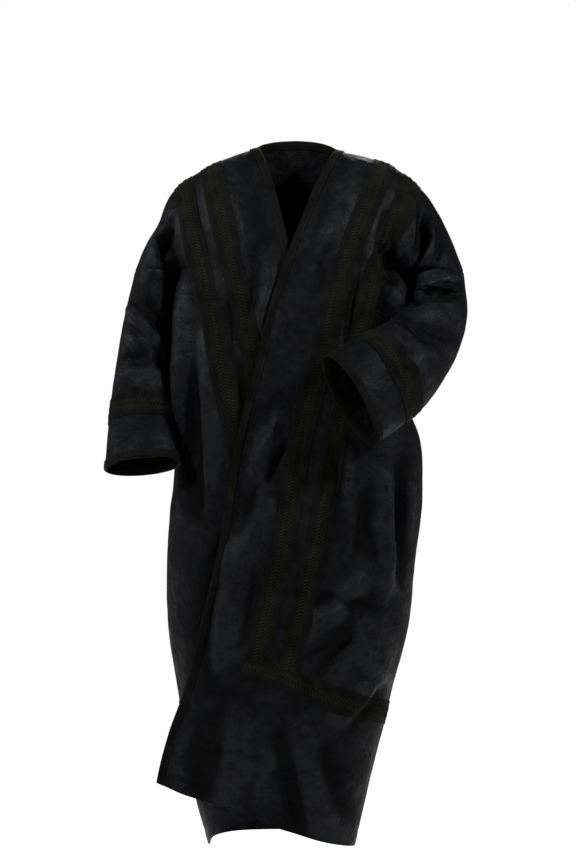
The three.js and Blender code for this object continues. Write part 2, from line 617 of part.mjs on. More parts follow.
function frontTrim(grid) {
  const side = grid.name.split('_')[0];
  const last = grid.points[0].length - 1;
  const edge = indices(0, grid.points.length - 1).map(i => ({
    edge: grid.points[i][0],
    inside: grid.points[i][1],
    edgeNormal: grid.normals[i][0],
    insideNormal: grid.normals[i][1],
  }));
  return [
    binding(`${side}_front_binding`, edge, false, false, ribbing),
    ...Object.entries(BRAIDS).map(([which, first]) => (
      braidOn(`${side}_${which}_braid`, grid, indices(0, BRAID_ROW), [first, first + 1], SEAM))),
    braidOn(`${side}_cross_braid`, grid, [BRAID_ROW, BRAID_ROW + 1], indices(BRAIDS.inner, last)),
  ];
}

function sleeveTrim(grid) {
  const last = grid.points.length - 1;
  const around = indices(0, grid.points[0].length - 1);
  const edge = around.map(j => ({
    edge: grid.points[last][j],
    inside: grid.points[last - 1][j],
    edgeNormal: grid.normals[last][j],
    insideNormal: grid.normals[last - 1][j],
  }));
  return [
    binding(grid.name.replace('sleeve', 'cuff_binding'), edge, true, true, ribbing),
    braidOn(`${grid.name}_braid`, grid, [SLEEVE_BRAID_ROW, SLEEVE_BRAID_ROW + 1], around),
  ];
}

// The back neck's binding is a flat strip between the neck edge and the next row of the back.
function neckBinding(grid) {
  const middle = (grid.points[0].length - 1) / 2;
  const columns = indices(middle - NECK_COLUMNS, middle + NECK_COLUMNS);
  return wall('back_neck_binding', grid, [0, 1], columns, SEAM, SEAM + BINDING_THICK, ribbing);
}

const cloak = new THREE.Group();
cloak.add(...Object.values(grids).map(panel));
cloak.add(...frontTrim(grids.leftFront), ...frontTrim(grids.rightFront));
cloak.add(...sleeveTrim(grids.leftSleeve), ...sleeveTrim(grids.rightSleeve));
cloak.add(neckBinding(grids.back));
export default cloak;
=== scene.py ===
# %% [markdown]
# # A winter wrap cloak
#
# A farwa is the heavy cloak that is worn over other clothes on cold evenings. This one is of black
# bonded suede, a thick cloth with a short nap. It has a V front without a collar, wide sleeves,
# two upright braids on each front, a level one above the hem and one round each sleeve. It is
# worn: the left front lies over the right one, the right sleeve hangs and the left sleeve is bent
# across the belly.
#
# Such a cloth could be simulated, but a simulation is hard to lead to one certain pose. Here each
# panel is a thin shell on the form of its solid, and folds are laid on it as soft ridges and
# troughs. Sizes are in millimetres until a mesh is made. The fronts face -Y and the wearer's left
# is +X.

# %% Load the frame
import json

import bpy
import numpy as np
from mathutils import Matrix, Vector, noise

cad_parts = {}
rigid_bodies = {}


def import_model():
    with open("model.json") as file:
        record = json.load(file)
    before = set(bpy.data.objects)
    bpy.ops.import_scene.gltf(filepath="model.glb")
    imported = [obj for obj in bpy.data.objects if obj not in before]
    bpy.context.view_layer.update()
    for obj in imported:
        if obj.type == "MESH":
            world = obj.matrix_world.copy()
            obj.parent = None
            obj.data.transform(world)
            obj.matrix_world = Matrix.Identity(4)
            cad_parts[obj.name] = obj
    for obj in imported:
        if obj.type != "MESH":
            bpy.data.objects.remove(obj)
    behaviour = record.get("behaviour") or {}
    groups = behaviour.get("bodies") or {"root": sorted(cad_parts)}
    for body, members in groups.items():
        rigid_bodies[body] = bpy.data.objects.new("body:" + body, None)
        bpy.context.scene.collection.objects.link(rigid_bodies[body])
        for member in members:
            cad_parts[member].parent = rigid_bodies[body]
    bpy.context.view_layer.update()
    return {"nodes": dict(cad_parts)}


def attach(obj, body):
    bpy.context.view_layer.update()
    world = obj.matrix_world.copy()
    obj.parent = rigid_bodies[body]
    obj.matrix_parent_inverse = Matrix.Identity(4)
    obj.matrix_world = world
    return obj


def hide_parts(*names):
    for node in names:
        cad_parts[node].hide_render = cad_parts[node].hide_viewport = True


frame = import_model()
MM = 0.001
print("nodes:", len(frame["nodes"]))

# %% [markdown]
# ## Sizes
#
# Bought trim keeps one width over the whole cloak, and so does the thickness of the cloth. The
# numbers could stand where they are used, but a value with a name is changed in one place. The
# counts of rows and columns are those of the solids, so braids and seams lie on the same lines.

# %% Named sizes
CLOTH = 3.0
BRAID_WIDE = 44.0
BRAID_PITCH = 63.0          # between the middles of the two upright braids
BRAID_THICK = 1.2
BINDING_WIDE = 14.0         # what shows on one face
LAP = 9.0                   # lift of the left front where it lies over the right one
UNDERARM = -234.0           # level at which the sleeves meet the sides
HEM = -1330.0
SIDE_Y = 5.0                # depth at which the side seams run
BOXY = 2.7                  # 2 is an ellipse in plan, more is squarer
HEM_BRAID = 252.0           # height of the level braid above the hem
CUFF_BRAID = 101.0          # distance of the sleeve's braid from the cuff
NECK_BOW = 8.5              # bow of the V's edges below the neck
SHOULDER_BRAID_RUN = 94.0   # from the free edge to the inner braid, along the shoulder
LEAVE = 0.55                # share of the half width at which a front hangs straight on
NECK_SHARE = 0.27           # share of the back that hangs from the neck
UPPER_ROWS, LOWER_ROWS, HEM_ROWS = 9, 14, 4
SIDE_COLUMNS, NECK_COLUMNS, ARM_ROWS = 8, 3, 8
print("cloth", CLOTH, "braid", BRAID_WIDE, "binding", BINDING_WIDE, "hem at", HEM)

# %% [markdown]
# ## A table that is read smoothly
#
# A body, a sleeve or an edge changes slowly from level to level. Each could be a drawn curve, but
# a few rows of numbers are easier to compare and to correct. The class joins its rows with a
# smooth cubic, so that no row shows as a kink in the cloth.

# %% Rows with named columns
class Table:
    """Rows with named columns, read smoothly by the first column."""

    def __init__(self, names, rows):
        self.names = names.split()
        self.rows = np.array(rows, float)
        keys = self.rows[:, 0]
        here = np.arange(len(keys))
        up, down = np.minimum(here + 1, here[-1]), np.maximum(here - 1, 0)
        self.slopes = (self.rows[up] - self.rows[down]) / (keys[up] - keys[down])[:, None]

    def at(self, key):
        keys = self.rows[:, 0]
        key = np.asarray(key, float)
        turn = 1 if keys[-1] > keys[0] else -1
        i = np.clip(np.searchsorted(turn * keys, turn * key) - 1, 0, len(keys) - 2)
        span = keys[i + 1] - keys[i]
        t = np.clip((key - keys[i]) / span, 0, 1)[..., None]
        a, b = self.rows[i], self.rows[i + 1]
        bend = (1 - t) * self.slopes[i] - t * self.slopes[i + 1]
        value = a + (b - a) * t * t * (3 - 2 * t) + t * (1 - t) * span[..., None] * bend
        return {name: value[..., n] for n, name in enumerate(self.names)}


sample = Table("at size", [(0, 0), (1, 2)])
print("halfway from 0 to 2:", sample.at(0.5)["size"])

# %% [markdown]
# ## Levels of the body, edges and hems
#
# The body is a cocoon: widest at the hips and narrower again at the hem. It could be sculpted, but
# levels with four reaches can be checked with a ruler. Under the arms it is up to 22 mm wider than
# its solid, so that no light shows between it and the sleeves. The free edges run across the body
# from the neck to the hem, and the hem of each front falls from its free edge to the side seam. A
# hem is read by the distance from the free edge.

# %% Body, edges and hems
body_sections = Table("z right left front back", [
    (-234, -213, 218, -148, 122), (-270, -221, 229, -151, 125), (-300, -223, 224, -154, 127),
    (-345, -222, 204, -157, 129), (-400, -224, 186, -160, 131), (-450, -226, 200, -163, 133),
    (-500, -224, 227, -165, 135), (-560, -219, 250, -167, 137), (-640, -223, 253, -168, 140),
    (-700, -231, 251, -168, 142), (-816, -236, 236, -167, 144), (-916, -232, 225, -165, 145),
    (-1056, -212, 189, -158, 145), (-1169, -196, 159, -150, 144), (-1248, -180, 140, -144, 142),
    (-1340, -153, 116, -136, 140)])
edges = {
    "left": Table("z x", [
        (-234, -12), (-310, -35), (-392, -55), (-519, -89), (-606, -106), (-746, -129),
        (-876, -158), (-993, -183), (-1102, -222), (-1197, -246), (-1340, -264)]),
    "right": Table("z x", [
        (-234, 4), (-300, 22), (-367, 40), (-500, 70), (-620, 90), (-755, 102), (-889, 108),
        (-1008, 106), (-1100, 98), (-1213, 82), (-1340, 62)]),
}
hems = {
    "left": Table("run z", [
        (0, -1197), (75, -1222), (155, -1238), (205, -1257), (275, -1283), (390, -1314),
        (480, HEM)]),
    "right": Table("run z", [
        (0, -1240), (70, -1247), (140, -1260), (175, -1271), (215, -1290), (275, -1322),
        (340, HEM)]),
}
braid_run = Table("z run", [(-234, 112), (-400, 117), (-1340, 117)])
print("levels of the body:", len(body_sections.rows))

# %% [markdown]
# ## Shoulders, necks and sleeves
#
# A dropped shoulder runs out from the neck and down over the arm, and the sleeve is set on where
# it ends. These lines are points, through which a smooth line is drawn later. A sleeve is a row of
# ovals along the arm. An oval is turned in plan by its yaw and tilted by its dip, so the tube
# bends at the elbow without a pinch, as a bevelled curve would not.

# %% Shoulders, necks and sleeves
shoulders = {
    "left": [(92, 8, 0), (150, 6, -14), (202, 4, -35), (259, 3, -83), (286, 3, -125),
             (303, 4, -160), (324, 5, -210), (333, SIDE_Y, UNDERARM)],
    "right": [(-65, 8, 4), (-127, 6, -18), (-171, 5, -40), (-209, 4, -65), (-234, 4, -93),
              (-254, 4, -144), (-277, 5, -184), (-298, SIDE_Y, UNDERARM)],
}
necks = {
    "left": [(13, 72, 26), (50, 64, 22), (78, 42, 12), (92, 8, 0)],
    "right": [(13, 72, 26), (-24, 64, 23), (-51, 42, 15), (-65, 8, 4)],
}
sleeve_sections = {
    "left": Table("at x y z wide deep yaw dip", [
        (0, 277.5, SIDE_Y, UNDERARM, 55.5, 95, 0, 0), (0.16, 277, -16, -298, 60, 90, 6, 6),
        (0.32, 262, -64, -348, 65, 74, 24, 24), (0.5, 232, -132, -390, 77, 64, 38, 42),
        (0.68, 200, -188, -424, 87, 56, 32, 52), (0.85, 152, -218, -456, 92, 52, 22, 60),
        (1, 108, -244, -484, 93, 50, 18, 65)]),
    "right": Table("at x y z wide deep yaw dip", [
        (0, -258, SIDE_Y, UNDERARM, 40, 95, 0, 0), (0.15, -264, -2, -290, 44, 90, 4, 0),
        (0.35, -271, -16, -365, 51, 82, 9, 0), (0.68, -277, -50, -485, 62, 64, 17, 0),
        (1, -276, -96, -604, 77, 46, 24, 0)]),
}
print("ovals of the sleeves:", {side: len(table.rows) for side, table in sleeve_sections.items()})

# %% [markdown]
# ## Folds
#
# Heavy cloth breaks into few folds: long ones that fall from the chest and the hips, a fan where
# the bent arm pulls the left front, and short loops at the shoulders and elbows. They could be
# sculpted, but then one fold can't be moved without the next. Here each is one row of x0 z0 x1 z1
# bow wide high: a line seen from the front or the back, how far it bows sideways in its middle,
# and the half width and height of the fold. A trough has a negative height.

# %% The rows of the folds
FOLDS = {
    ("front", "front"): """
-38 -230 -58 -380 0 20 5
-108 -300 -104 -400 4 16 -5
-160 -370 -150 -620 -6 18 8
-188 -440 -176 -700 5 15 -7
-30 -530 -62 -640 8 18 6
-48 -660 -112 -800 -10 20 7
-78 -760 -118 -960 8 22 6
42 -850 148 -868 -6 14 -6
20 -915 140 -800 8 18 7
56 -985 105 -915 0 14 -5
90 -1075 150 -1010 -6 16 6
208 -590 204 -810 5 15 -9
178 -620 172 -840 -5 18 5
20 -1080 70 -1290 9 26 6
-90 -1060 -120 -1230 -8 24 5
218 -130 216 -232 5 12 7
196 -262 168 -196 9 20 -8
250 -110 240 -205 -6 15 -7
-226 -150 -228 -228 4 13 -8
-206 -262 -204 -560 0 14 10
204 -266 190 -330 0 13 6
-190 -120 -180 -260 5 20 5
-24 -250 -56 -360 10 9 2.4
-66 -200 -74 -330 -6 12 -3
-128 -352 -122 -470 6 11 3
-96 -420 -92 -560 -7 13 -3.4
-172 -480 -160 -640 6 9 -3
-142 -560 -150 -700 5 10 3
-4 -560 -40 -636 9 8 -3
-20 -500 -60 -590 -8 9 2.6
-64 -640 -100 -742 -9 9 -3.2
-82 -700 -128 -812 8 10 3
-70 -760 -92 -930 -7 9 -2.6
-116 -820 -128 -990 6 14 3.2
10 -560 0 -680 6 12 3
84 -560 70 -700 -7 14 -3.5
118 -580 104 -690 8 12 3.4
132 -660 120 -770 -6 11 -3
50 -862 156 -884 7 6 -1.3
12 -940 120 -812 -6 7 1.6
34 -952 92 -902 5 6 -1.3
62 -1003 110 -936 -4 7 1.6
98 -1093 158 -1024 5 7 -1.8
108 -1060 170 -1000 -4 8 1.8
130 -940 190 -1010 8 14 3
150 -700 190 -830 -9 12 3.2
194 -600 188 -790 4 9 2.6
222 -610 216 -760 -5 10 2.4
-10 -1100 10 -1280 -7 18 -3.4
60 -1110 96 -1250 8 18 -3.6
-150 -1070 -170 -1210 6 20 -3.2
-40 -1120 -50 -1250 5 15 2.6
78 -150 60 -230 10 10 2.2
64 -190 40 -290 -8 12 -2.8
90 -206 62 -250 8 8 2.4
150 -190 120 -330 -8 11 3
132 -250 110 -392 8 10 -3.2
160 -262 128 -400 -7 9 3.2
176 -290 150 -400 6 12 -4
188 -120 176 -216 8 11 -3.6
172 -180 206 -262 -12 8 4
202 -150 196 -226 6 8 -3.4
232 -96 232 -210 10 8 5
262 -140 250 -228 -8 8 4.4
282 -150 268 -226 -6 9 -3
208 -216 238 -262 6 9 -4
-150 -60 -130 -190 8 18 3
-110 -120 -120 -260 -8 15 -2.6
-212 -130 -218 -226 4 8 3.6
-240 -160 -262 -230 -4 10 -3
-60 -90 -40 -200 5 24 -2.4
110 -60 86 -170 -6 22 2.6
""",
    ("back", "back"): """
0 -120 -8 -420 10 34 -8
120 -260 105 -760 -12 28 9
-118 -250 -92 -820 10 30 8
40 -560 62 -1180 -14 30 -8
-40 -640 -22 -1290 12 28 8
178 -330 150 -620 -8 20 -8
-176 -380 -168 -980 9 22 -7
210 -110 190 -240 6 18 7
-196 -110 -186 -240 -6 18 7
60 -180 44 -520 8 16 4
-64 -200 -48 -560 -9 17 -4.4
150 -420 136 -820 8 15 -4
-140 -560 -120 -1010 -8 16 4.4
84 -820 96 -1240 9 17 5
-88 -900 -70 -1270 -8 18 -4.6
14 -900 22 -1210 6 14 4
168 -780 128 -1180 -9 16 4.6
-180 -900 -150 -1220 8 15 -4
100 -90 70 -190 10 16 3
-90 -90 -60 -200 -10 16 3
20 -60 10 -170 4 18 -2.6
206 -540 190 -760 5 12 5
-196 -560 -206 -800 -5 12 4.4
232 -150 214 -232 6 11 -4.6
-226 -140 -214 -232 -6 11 -4.4
""",
    ("rightSleeve", "front"): """
-302 -262 -232 -350 8 14 -7
-312 -306 -244 -384 -8 15 6
-290 -444 -236 -452 4 16 5
-330 -420 -262 -398 -5 14 -5
-296 -286 -250 -330 5 7 3.4
-318 -280 -276 -318 -5 8 -3.4
-306 -336 -262 -362 4 7 -3.2
-322 -356 -282 -396 -5 8 3.2
-300 -400 -240 -420 5 9 -3.4
-284 -412 -238 -436 -3 8 3
-258 -300 -240 -420 6 9 -4
-330 -560 -300 -600 3 12 3
-250 -540 -228 -600 -3 12 3
""",
    ("rightSleeve", "back"): """
-300 -290 -236 -340 8 14 -6
-310 -350 -240 -400 -8 15 6
-300 -430 -246 -450 5 12 -4.4
-296 -470 -250 -560 6 15 4
-264 -260 -250 -360 5 10 4
""",
    ("leftSleeve", "front"): """
214 -306 322 -270 8 14 -7
222 -318 318 -342 -8 15 7
216 -330 286 -380 8 14 -7
196 -372 250 -452 -8 15 5
216 -290 318 -248 -6 8 5
226 -300 300 -286 5 6 -3.6
236 -314 312 -308 -5 7 3.8
230 -336 300 -366 5 7 -4
214 -318 262 -392 -6 8 4.6
250 -350 306 -396 6 8 3.8
204 -350 240 -430 6 9 -4
178 -400 206 -470 -5 10 3.6
240 -400 214 -460 5 12 3.6
270 -250 262 -300 4 9 -4
""",
    ("leftSleeve", "back"): """
226 -290 318 -262 8 13 -6
232 -320 320 -318 -6 13 6
226 -350 306 -372 7 13 -5
214 -380 270 -430 -6 14 5
""",
}
folds = {where: [tuple(map(float, row.split())) for row in rows.strip().splitlines()]
         for where, rows in FOLDS.items()}
print("folds:", {" ".join(where): len(rows) for where, rows in folds.items()})

# %% [markdown]
# ## From a row to a height
#
# A fold is highest in its middle and dies out at its ends, and the cloth that it takes up leaves a
# shallow dip on one side. So the height falls off from the line like a bell, less a lower bell
# beside it. Where the cloth turns away from the side that a fold belongs to, the fold fades out.
# FULLER says for each part of the cloak how many times higher its folds are here than on its
# solid.

# %% Heights of the folds
ARC = np.linspace(0, 1, 9)
FULLER = {"front": 2.5, "back": 1.4, "rightSleeve": 1.7, "leftSleeve": 1.8}
DIP, DIP_AWAY, DIP_WIDE = 0.35, 1.7, 0.9    # one share of the height, two of the width
TURNED, TURN_OVER = 0.1, 0.5    # how far the cloth has to face the fold's side
END_HIGH, END_BEND = 0.25, 0.7  # what is left at the ends, and how late it drops


def ease(t):
    """A smooth step from 0 to 1."""
    t = np.clip(t, 0, 1)
    return t * t * (3 - 2 * t)


def beside_line(x, z, x0, z0, x1, z1, bow):
    """Distance from a bowed line, the place along it from 0 to 1, and the side."""
    length = np.hypot(x1 - x0, z1 - z0)
    side = bow * np.sin(ARC * np.pi) / length
    px = x0 + (x1 - x0) * ARC + (z1 - z0) * side
    pz = z0 + (z1 - z0) * ARC - (x1 - x0) * side
    best, along, sign = np.full(x.shape, 1e9), np.zeros(x.shape), np.ones(x.shape)
    for k in range(len(ARC) - 1):
        dx, dz = px[k + 1] - px[k], pz[k + 1] - pz[k]
        t = np.clip(((x - px[k]) * dx + (z - pz[k]) * dz) / (dx * dx + dz * dz), 0, 1)
        ox, oz = x - px[k] - t * dx, z - pz[k] - t * dz
        off = np.hypot(ox, oz)
        near = off < best
        best = np.where(near, off, best)
        along = np.where(near, (k + t) / (len(ARC) - 1), along)
        sign = np.where(near, np.sign(ox * dz - oz * dx), sign)
    return best, along, sign


def fold_height(on, points, normals):
    """How far the folds move the cloth at each point, along its normal."""
    x, z = points[..., 0], points[..., 2]
    total = np.zeros(x.shape)
    for face in ("front", "back"):
        faces = ease(((1 if face == "back" else -1) * normals[..., 1] - TURNED) / TURN_OVER)
        here = np.zeros(x.shape)
        for x0, z0, x1, z1, bow, wide, high in folds.get((on, face), []):
            best, along, sign = beside_line(x, z, x0, z0, x1, z1, bow)
            taper = END_HIGH + (1 - END_HIGH) * np.sin(along * np.pi) ** END_BEND
            ridge = np.exp(-(best / wide) ** 2)
            beside = np.exp(-((best * sign - DIP_AWAY * wide) / (DIP_WIDE * wide)) ** 2)
            here += FULLER[on] * high * taper * (ridge - DIP * beside)
        total += here * faces
    return total


chest = np.array([[-38.0, -148.0, -234.0]])
print("fold at the chest:", fold_height("front", chest, np.array([[0.0, -1.0, 0.0]])).round(1))

# %% [markdown]
# ## Unevenness
#
# Between its folds heavy cloth is never quite flat. A bump texture could fake that, but on a broad
# dark plane the light needs real slopes. Two sizes of noise, a broad and a small one, move the
# cloth by about a millimetre. They are longer down the cloth than across it.

# %% Two sizes of noise
RIPPLES = ((1.5, 70, 110, 0), (0.55, 21, 29, 7))    # height, width, length, start


def ripple(points):
    """Slight unevenness of heavy cloth."""
    values = [sum(high * noise.noise(Vector((p[0] / wide + start, p[1] / wide, p[2] / long)))
                  for high, wide, long, start in RIPPLES) for p in points.reshape(-1, 3)]
    return np.array(values).reshape(points.shape[:-1])


print("unevenness at the chest:", ripple(chest).round(2))

# %% [markdown]
# ## Lines with a tape measure
#
# A tailor lays a tape along the shoulder, the neck and the edges. Blender's curves could carry
# such lines, but plain points with their running length let each braid be placed by its distance
# from the edge, which is how it is sewn on.

# %% Lines and distances along them
LINE_POINTS = 61


def lengths_of(line):
    """The running length at each point of a line."""
    return np.concatenate([[0], np.cumsum(np.linalg.norm(np.diff(line, axis=0), axis=1))])


def line_through(rows):
    """A smooth line through a few points."""
    rows = np.array(rows, float)
    run = lengths_of(rows)
    read = Table("run x y z", np.column_stack([run, rows])).at(np.linspace(0, run[-1], LINE_POINTS))
    return np.column_stack([read["x"], read["y"], read["z"]])


def points_at(line, distances):
    """The points of a line at these distances from its start."""
    run = lengths_of(line)
    distances = np.clip(distances, 0, run[-1])
    return np.column_stack([np.interp(distances, run, line[:, n]) for n in range(3)])


print("left shoulder:", round(lengths_of(line_through(shoulders["left"]))[-1]), "mm long")

# %% [markdown]
# ## Sections of the body
#
# Cut level, the worn cloak is a box with round corners. A superellipse gives that with one number,
# where a drawn section would need many. A front runs from its free edge round to the side seam.
# Half the back runs from its middle to the same seam.

# %% Sections of the fronts and the back
SECTION_POINTS = 91


def section_points(z, sign, depth_name, angles):
    """Points of one side at a level: angle 0 is the side seam, a quarter turn the middle."""
    body = body_sections.at(z)
    middle, half = (body["left"] + body["right"]) / 2, (body["left"] - body["right"]) / 2
    across = np.sign(np.cos(angles)) * np.abs(np.cos(angles)) ** (2 / BOXY)
    y = SIDE_Y + (body[depth_name] - SIDE_Y) * np.abs(np.sin(angles)) ** (2 / BOXY)
    return np.column_stack([middle + sign * half * across, y, np.full(len(angles), z)])


def front_line(side, z):
    """A front's section at a level. Past the corner of the body the cloth hangs straight on."""
    sign = 1 if side == "left" else -1
    body = body_sections.at(z)
    middle, half = (body["left"] + body["right"]) / 2, (body["left"] - body["right"]) / 2
    edge = sign * (edges[side].at(z)["x"] - middle) / half
    stop = max(edge, -LEAVE)
    last = np.arccos(np.sign(stop) * abs(stop) ** (BOXY / 2))
    line = section_points(z, sign, "front", np.linspace(0, last, SECTION_POINTS))
    if edge < -LEAVE:
        way = line[-1] - line[-2]
        line = np.vstack([line, line[-1] + way * (stop - edge) * half / abs(way[0])])
    return line[::-1]


def back_line(side, z):
    """Half the back at a level, from its middle to the side seam."""
    angles = np.linspace(np.pi / 2, 0, SECTION_POINTS)
    return section_points(z, 1 if side == "left" else -1, "back", angles)


print("left front at -700:", round(lengths_of(front_line("left", -700.0))[-1]), "mm round")

# %% [markdown]
# ## Columns and rows
#
# Each panel is a grid. Its columns run down the cloth, over the binding, the two braids and the
# plain cloth to the side seam. They are numbered as on the solids, with fractions between them. A
# subdivided mesh could be finer too, but with these numbers a braid starts and ends on a line of
# the grid at any fineness.

# %% Numbers of the columns and rows
def front_runs(inner_braid, total):
    """Where each column of a front lies, measured from the free edge."""
    half = BRAID_WIDE / 2
    outer_braid = inner_braid + BRAID_PITCH
    start = outer_braid + half
    return np.concatenate([
        [0, BINDING_WIDE, inner_braid / 2, inner_braid - half, inner_braid + half,
         outer_braid - half],
        np.linspace(start, total, SIDE_COLUMNS + 1)])


def fine(counts):
    """Numbers with fractions: counts[i] steps from i to i + 1."""
    parts = [np.arange(count) / count + i for i, count in enumerate(counts)]
    return np.concatenate([*parts, [len(counts)]])


FRONT_COLUMNS = fine([4, 8, 7, 8, 4, 8] + [7] * SIDE_COLUMNS)
BACK_COLUMNS = fine([2, 6, 5, 6, 3, 6] + [5] * SIDE_COLUMNS)
NECK_FINE = fine([6] * NECK_COLUMNS)[:-1]
ROWS = fine([5] * UPPER_ROWS + [10] * LOWER_ROWS + [8] + [10] * HEM_ROWS)
UPPER = int(np.searchsorted(ROWS, UPPER_ROWS))
LAST_COLUMN = 6 + SIDE_COLUMNS
print("columns:", len(FRONT_COLUMNS), len(BACK_COLUMNS), "rows:", len(ROWS))

# %% [markdown]
# ## Sections of a sleeve
#
# A sleeve follows the arm from the shoulder to the wrist. A curve with a bevel would be round, but
# a sleeve is a flattened oval that turns on the way. So each place along the arm has a centre and
# two half axes. At the top the way points straight down, so that the first oval fits the armhole.

# %% Ovals along the arm
BESIDE = 0.02       # share of the arm over which its way is measured
SETTLED = 0.25      # share of the arm after which the tube follows it freely


def arm_frame(side, at):
    """Centres and half axes of a sleeve, at shares of the arm's length."""
    sign = 1 if side == "left" else -1
    at = np.atleast_1d(np.asarray(at, float))
    read = sleeve_sections[side]
    a, b = read.at(np.maximum(at - BESIDE, 0)), read.at(np.minimum(at + BESIDE, 1))
    s = read.at(at)
    place = lambda row: np.column_stack([row["x"], row["y"], row["z"]])
    unit = lambda v: v / np.linalg.norm(v, axis=1, keepdims=True)
    down = np.array([[0.0, 0, -1]])
    share = ease(at / SETTLED)[:, None]
    along = unit(down * (1 - share) + unit(place(b) - place(a)) * share)
    yaw, dip = np.radians(s["yaw"]), np.radians(s["dip"])
    wide = np.column_stack([
        sign * np.cos(yaw) * np.cos(dip), np.sin(yaw) * np.cos(dip), -np.sin(dip)])
    wide = unit(wide - along * (wide * along).sum(1, keepdims=True))
    deep = np.cross(wide, along) * -sign
    return place(s), wide * s["wide"][:, None], deep * s["deep"][:, None]


def arm_points(side, at, angles):
    """Points of a sleeve: angle 0 is its outer side, a quarter turn its front."""
    centre, wide, deep = (v[:, None, :] for v in arm_frame(side, at))
    return centre + wide * np.cos(angles)[None, :, None] + deep * np.sin(angles)[None, :, None]


print("left cuff at:", arm_frame("left", 1)[0].round())

# %% [markdown]
# ## Above the underarm
#
# From the shoulder the cloth falls over the chest in a quarter of a round, and over the arm in
# half a round, whose end is the armhole. Two panels could meet there, but a dropped shoulder is
# one cloth, so the share of the half round grows along the shoulder.

# %% Rows from the shoulder to the underarm
ARM_FROM = 0.35     # share of the shoulder at which the round of the arm begins
BOW_COLUMNS = 4     # columns over which the bow of the V's edge fades out


def upper_rows(side, facing, tops, bottoms, columns, neck):
    """From the shoulder line to just above the underarm level."""
    sign = 1 if side == "left" else -1
    depth = float(sleeve_sections[side].at(0)["deep"])
    t = (ROWS[:UPPER] / UPPER_ROWS)[:, None]
    j = columns[None, :]
    last = neck + LAST_COLUMN
    outer = ease(((j - neck) / (last - neck) - ARM_FROM) / (1 - ARM_FROM))
    straight = 1 - ease(j / (neck + 1)) if neck else np.zeros(j.shape)
    mix = lambda a, b, share: a + (b - a) * share
    quarter_fall = mix(1 - np.cos(t * np.pi / 2), t, straight)
    quarter_depth = mix(np.sin(t * np.pi / 2), t, straight / 2)
    fall = mix(quarter_fall, (1 - np.cos(t * np.pi)) / 2, outer)
    body_y = mix(tops[None, :, 1], bottoms[None, :, 1], quarter_depth)
    arm_y = mix(tops[None, :, 1], bottoms[None, :, 1], fall) - facing * depth * np.sin(t * np.pi)
    bow = NECK_BOW * np.sin(t * np.pi) * np.maximum(1 - j / BOW_COLUMNS, 0)
    bow = bow if facing > 0 else 0
    x = mix(tops[None, :, 0], bottoms[None, :, 0], fall) - sign * bow
    z = mix(tops[None, :, 2], bottoms[None, :, 2], fall)
    return np.stack([x, mix(body_y, arm_y, outer), z], axis=2)


print("rows above the underarm:", UPPER)

# %% [markdown]
# ## Below the underarm
#
# Here a panel hangs round the body to its hem, whose level differs from column to column. Its rows
# are spread down to the level braid, over the braid and on to the hem, so the braid stays parallel
# to the hem. At the top the side moves out to the sleeve, which makes the small hollow of the
# armpit.

# %% Rows from the underarm to the hem
LEVEL_STEP = 4.0


def lower_rows(line_at, place_at, hem):
    """Rows from the underarm level to the hem, whose level differs by column."""
    half = BRAID_WIDE / 2
    levels = np.arange(UNDERARM, HEM - 2 * LEVEL_STEP, -LEVEL_STEP)
    table = np.stack([points_at(line_at(z), place_at(z, line_at(z))) for z in levels])
    numbers = np.arange(LOWER_ROWS + HEM_ROWS + 2)
    rows = ROWS[UPPER:] - UPPER_ROWS
    columns = []
    for k, end in enumerate(hem):
        coarse = np.concatenate([np.linspace(UNDERARM, end + HEM_BRAID + half, LOWER_ROWS + 1),
                                 np.linspace(end + HEM_BRAID - half, end, HEM_ROWS + 1)])
        z = np.interp(rows, numbers, coarse)
        columns.append(np.column_stack([np.interp(-z, -levels, table[:, k, n]) for n in range(3)]))
    return np.stack(columns, axis=1)


def to_armpit(side, lower, columns, last):
    """The body's side point moves out to the sleeve's inner point at the underarm."""
    armpit = arm_points(side, 0, np.array([np.pi]))[0, 0]
    near = np.clip(1 - (last - columns), 0, 1)[None, :, None]
    rows = np.clip(1 - (ROWS[UPPER:] - UPPER_ROWS), 0, 1)[:, None, None]
    return lower + (armpit - lower[0, -1]) * near * rows


print("rows below the underarm:", len(ROWS) - UPPER)

# %% [markdown]
# ## The fronts
#
# A front is its upper and its lower rows in one grid. It runs from the shoulder to the hem and
# from the free edge to the side seam. The whole cloak could be one body with cuts, but separate
# panels have their seams where the tailor has them.

# %% Grids of the fronts
def front_grid(side):
    """All points of a front."""
    shoulder = line_through(shoulders[side])
    runs = lambda z, line: front_runs(float(braid_run.at(z)["run"]), lengths_of(line)[-1])
    numbers = np.arange(LAST_COLUMN + 1)
    along = lambda values: np.interp(FRONT_COLUMNS, numbers, values)
    tops = points_at(shoulder, along(front_runs(SHOULDER_BRAID_RUN, lengths_of(shoulder)[-1])))
    level = HEM + BRAID_WIDE
    hem = hems[side].at(along(runs(level, front_line(side, level))))["z"]
    hem = hem + (HEM - hem) * np.clip(FRONT_COLUMNS - LAST_COLUMN + 1, 0, 1)
    lower = lower_rows(lambda z: front_line(side, z), lambda z, line: along(runs(z, line)), hem)
    lower = to_armpit(side, lower, FRONT_COLUMNS, LAST_COLUMN)
    upper = upper_rows(side, 1, tops, lower[0], FRONT_COLUMNS, 0)
    return np.vstack([upper, lower])


print("left front:", front_grid("left").shape)

# %% [markdown]
# ## The back
#
# The back is two halves that meet in the middle. Each has three more columns than a front, which
# hang from the neck. A mirror modifier can't make one half from the other, because the shoulders
# differ: the left one is wider over the bent arm.

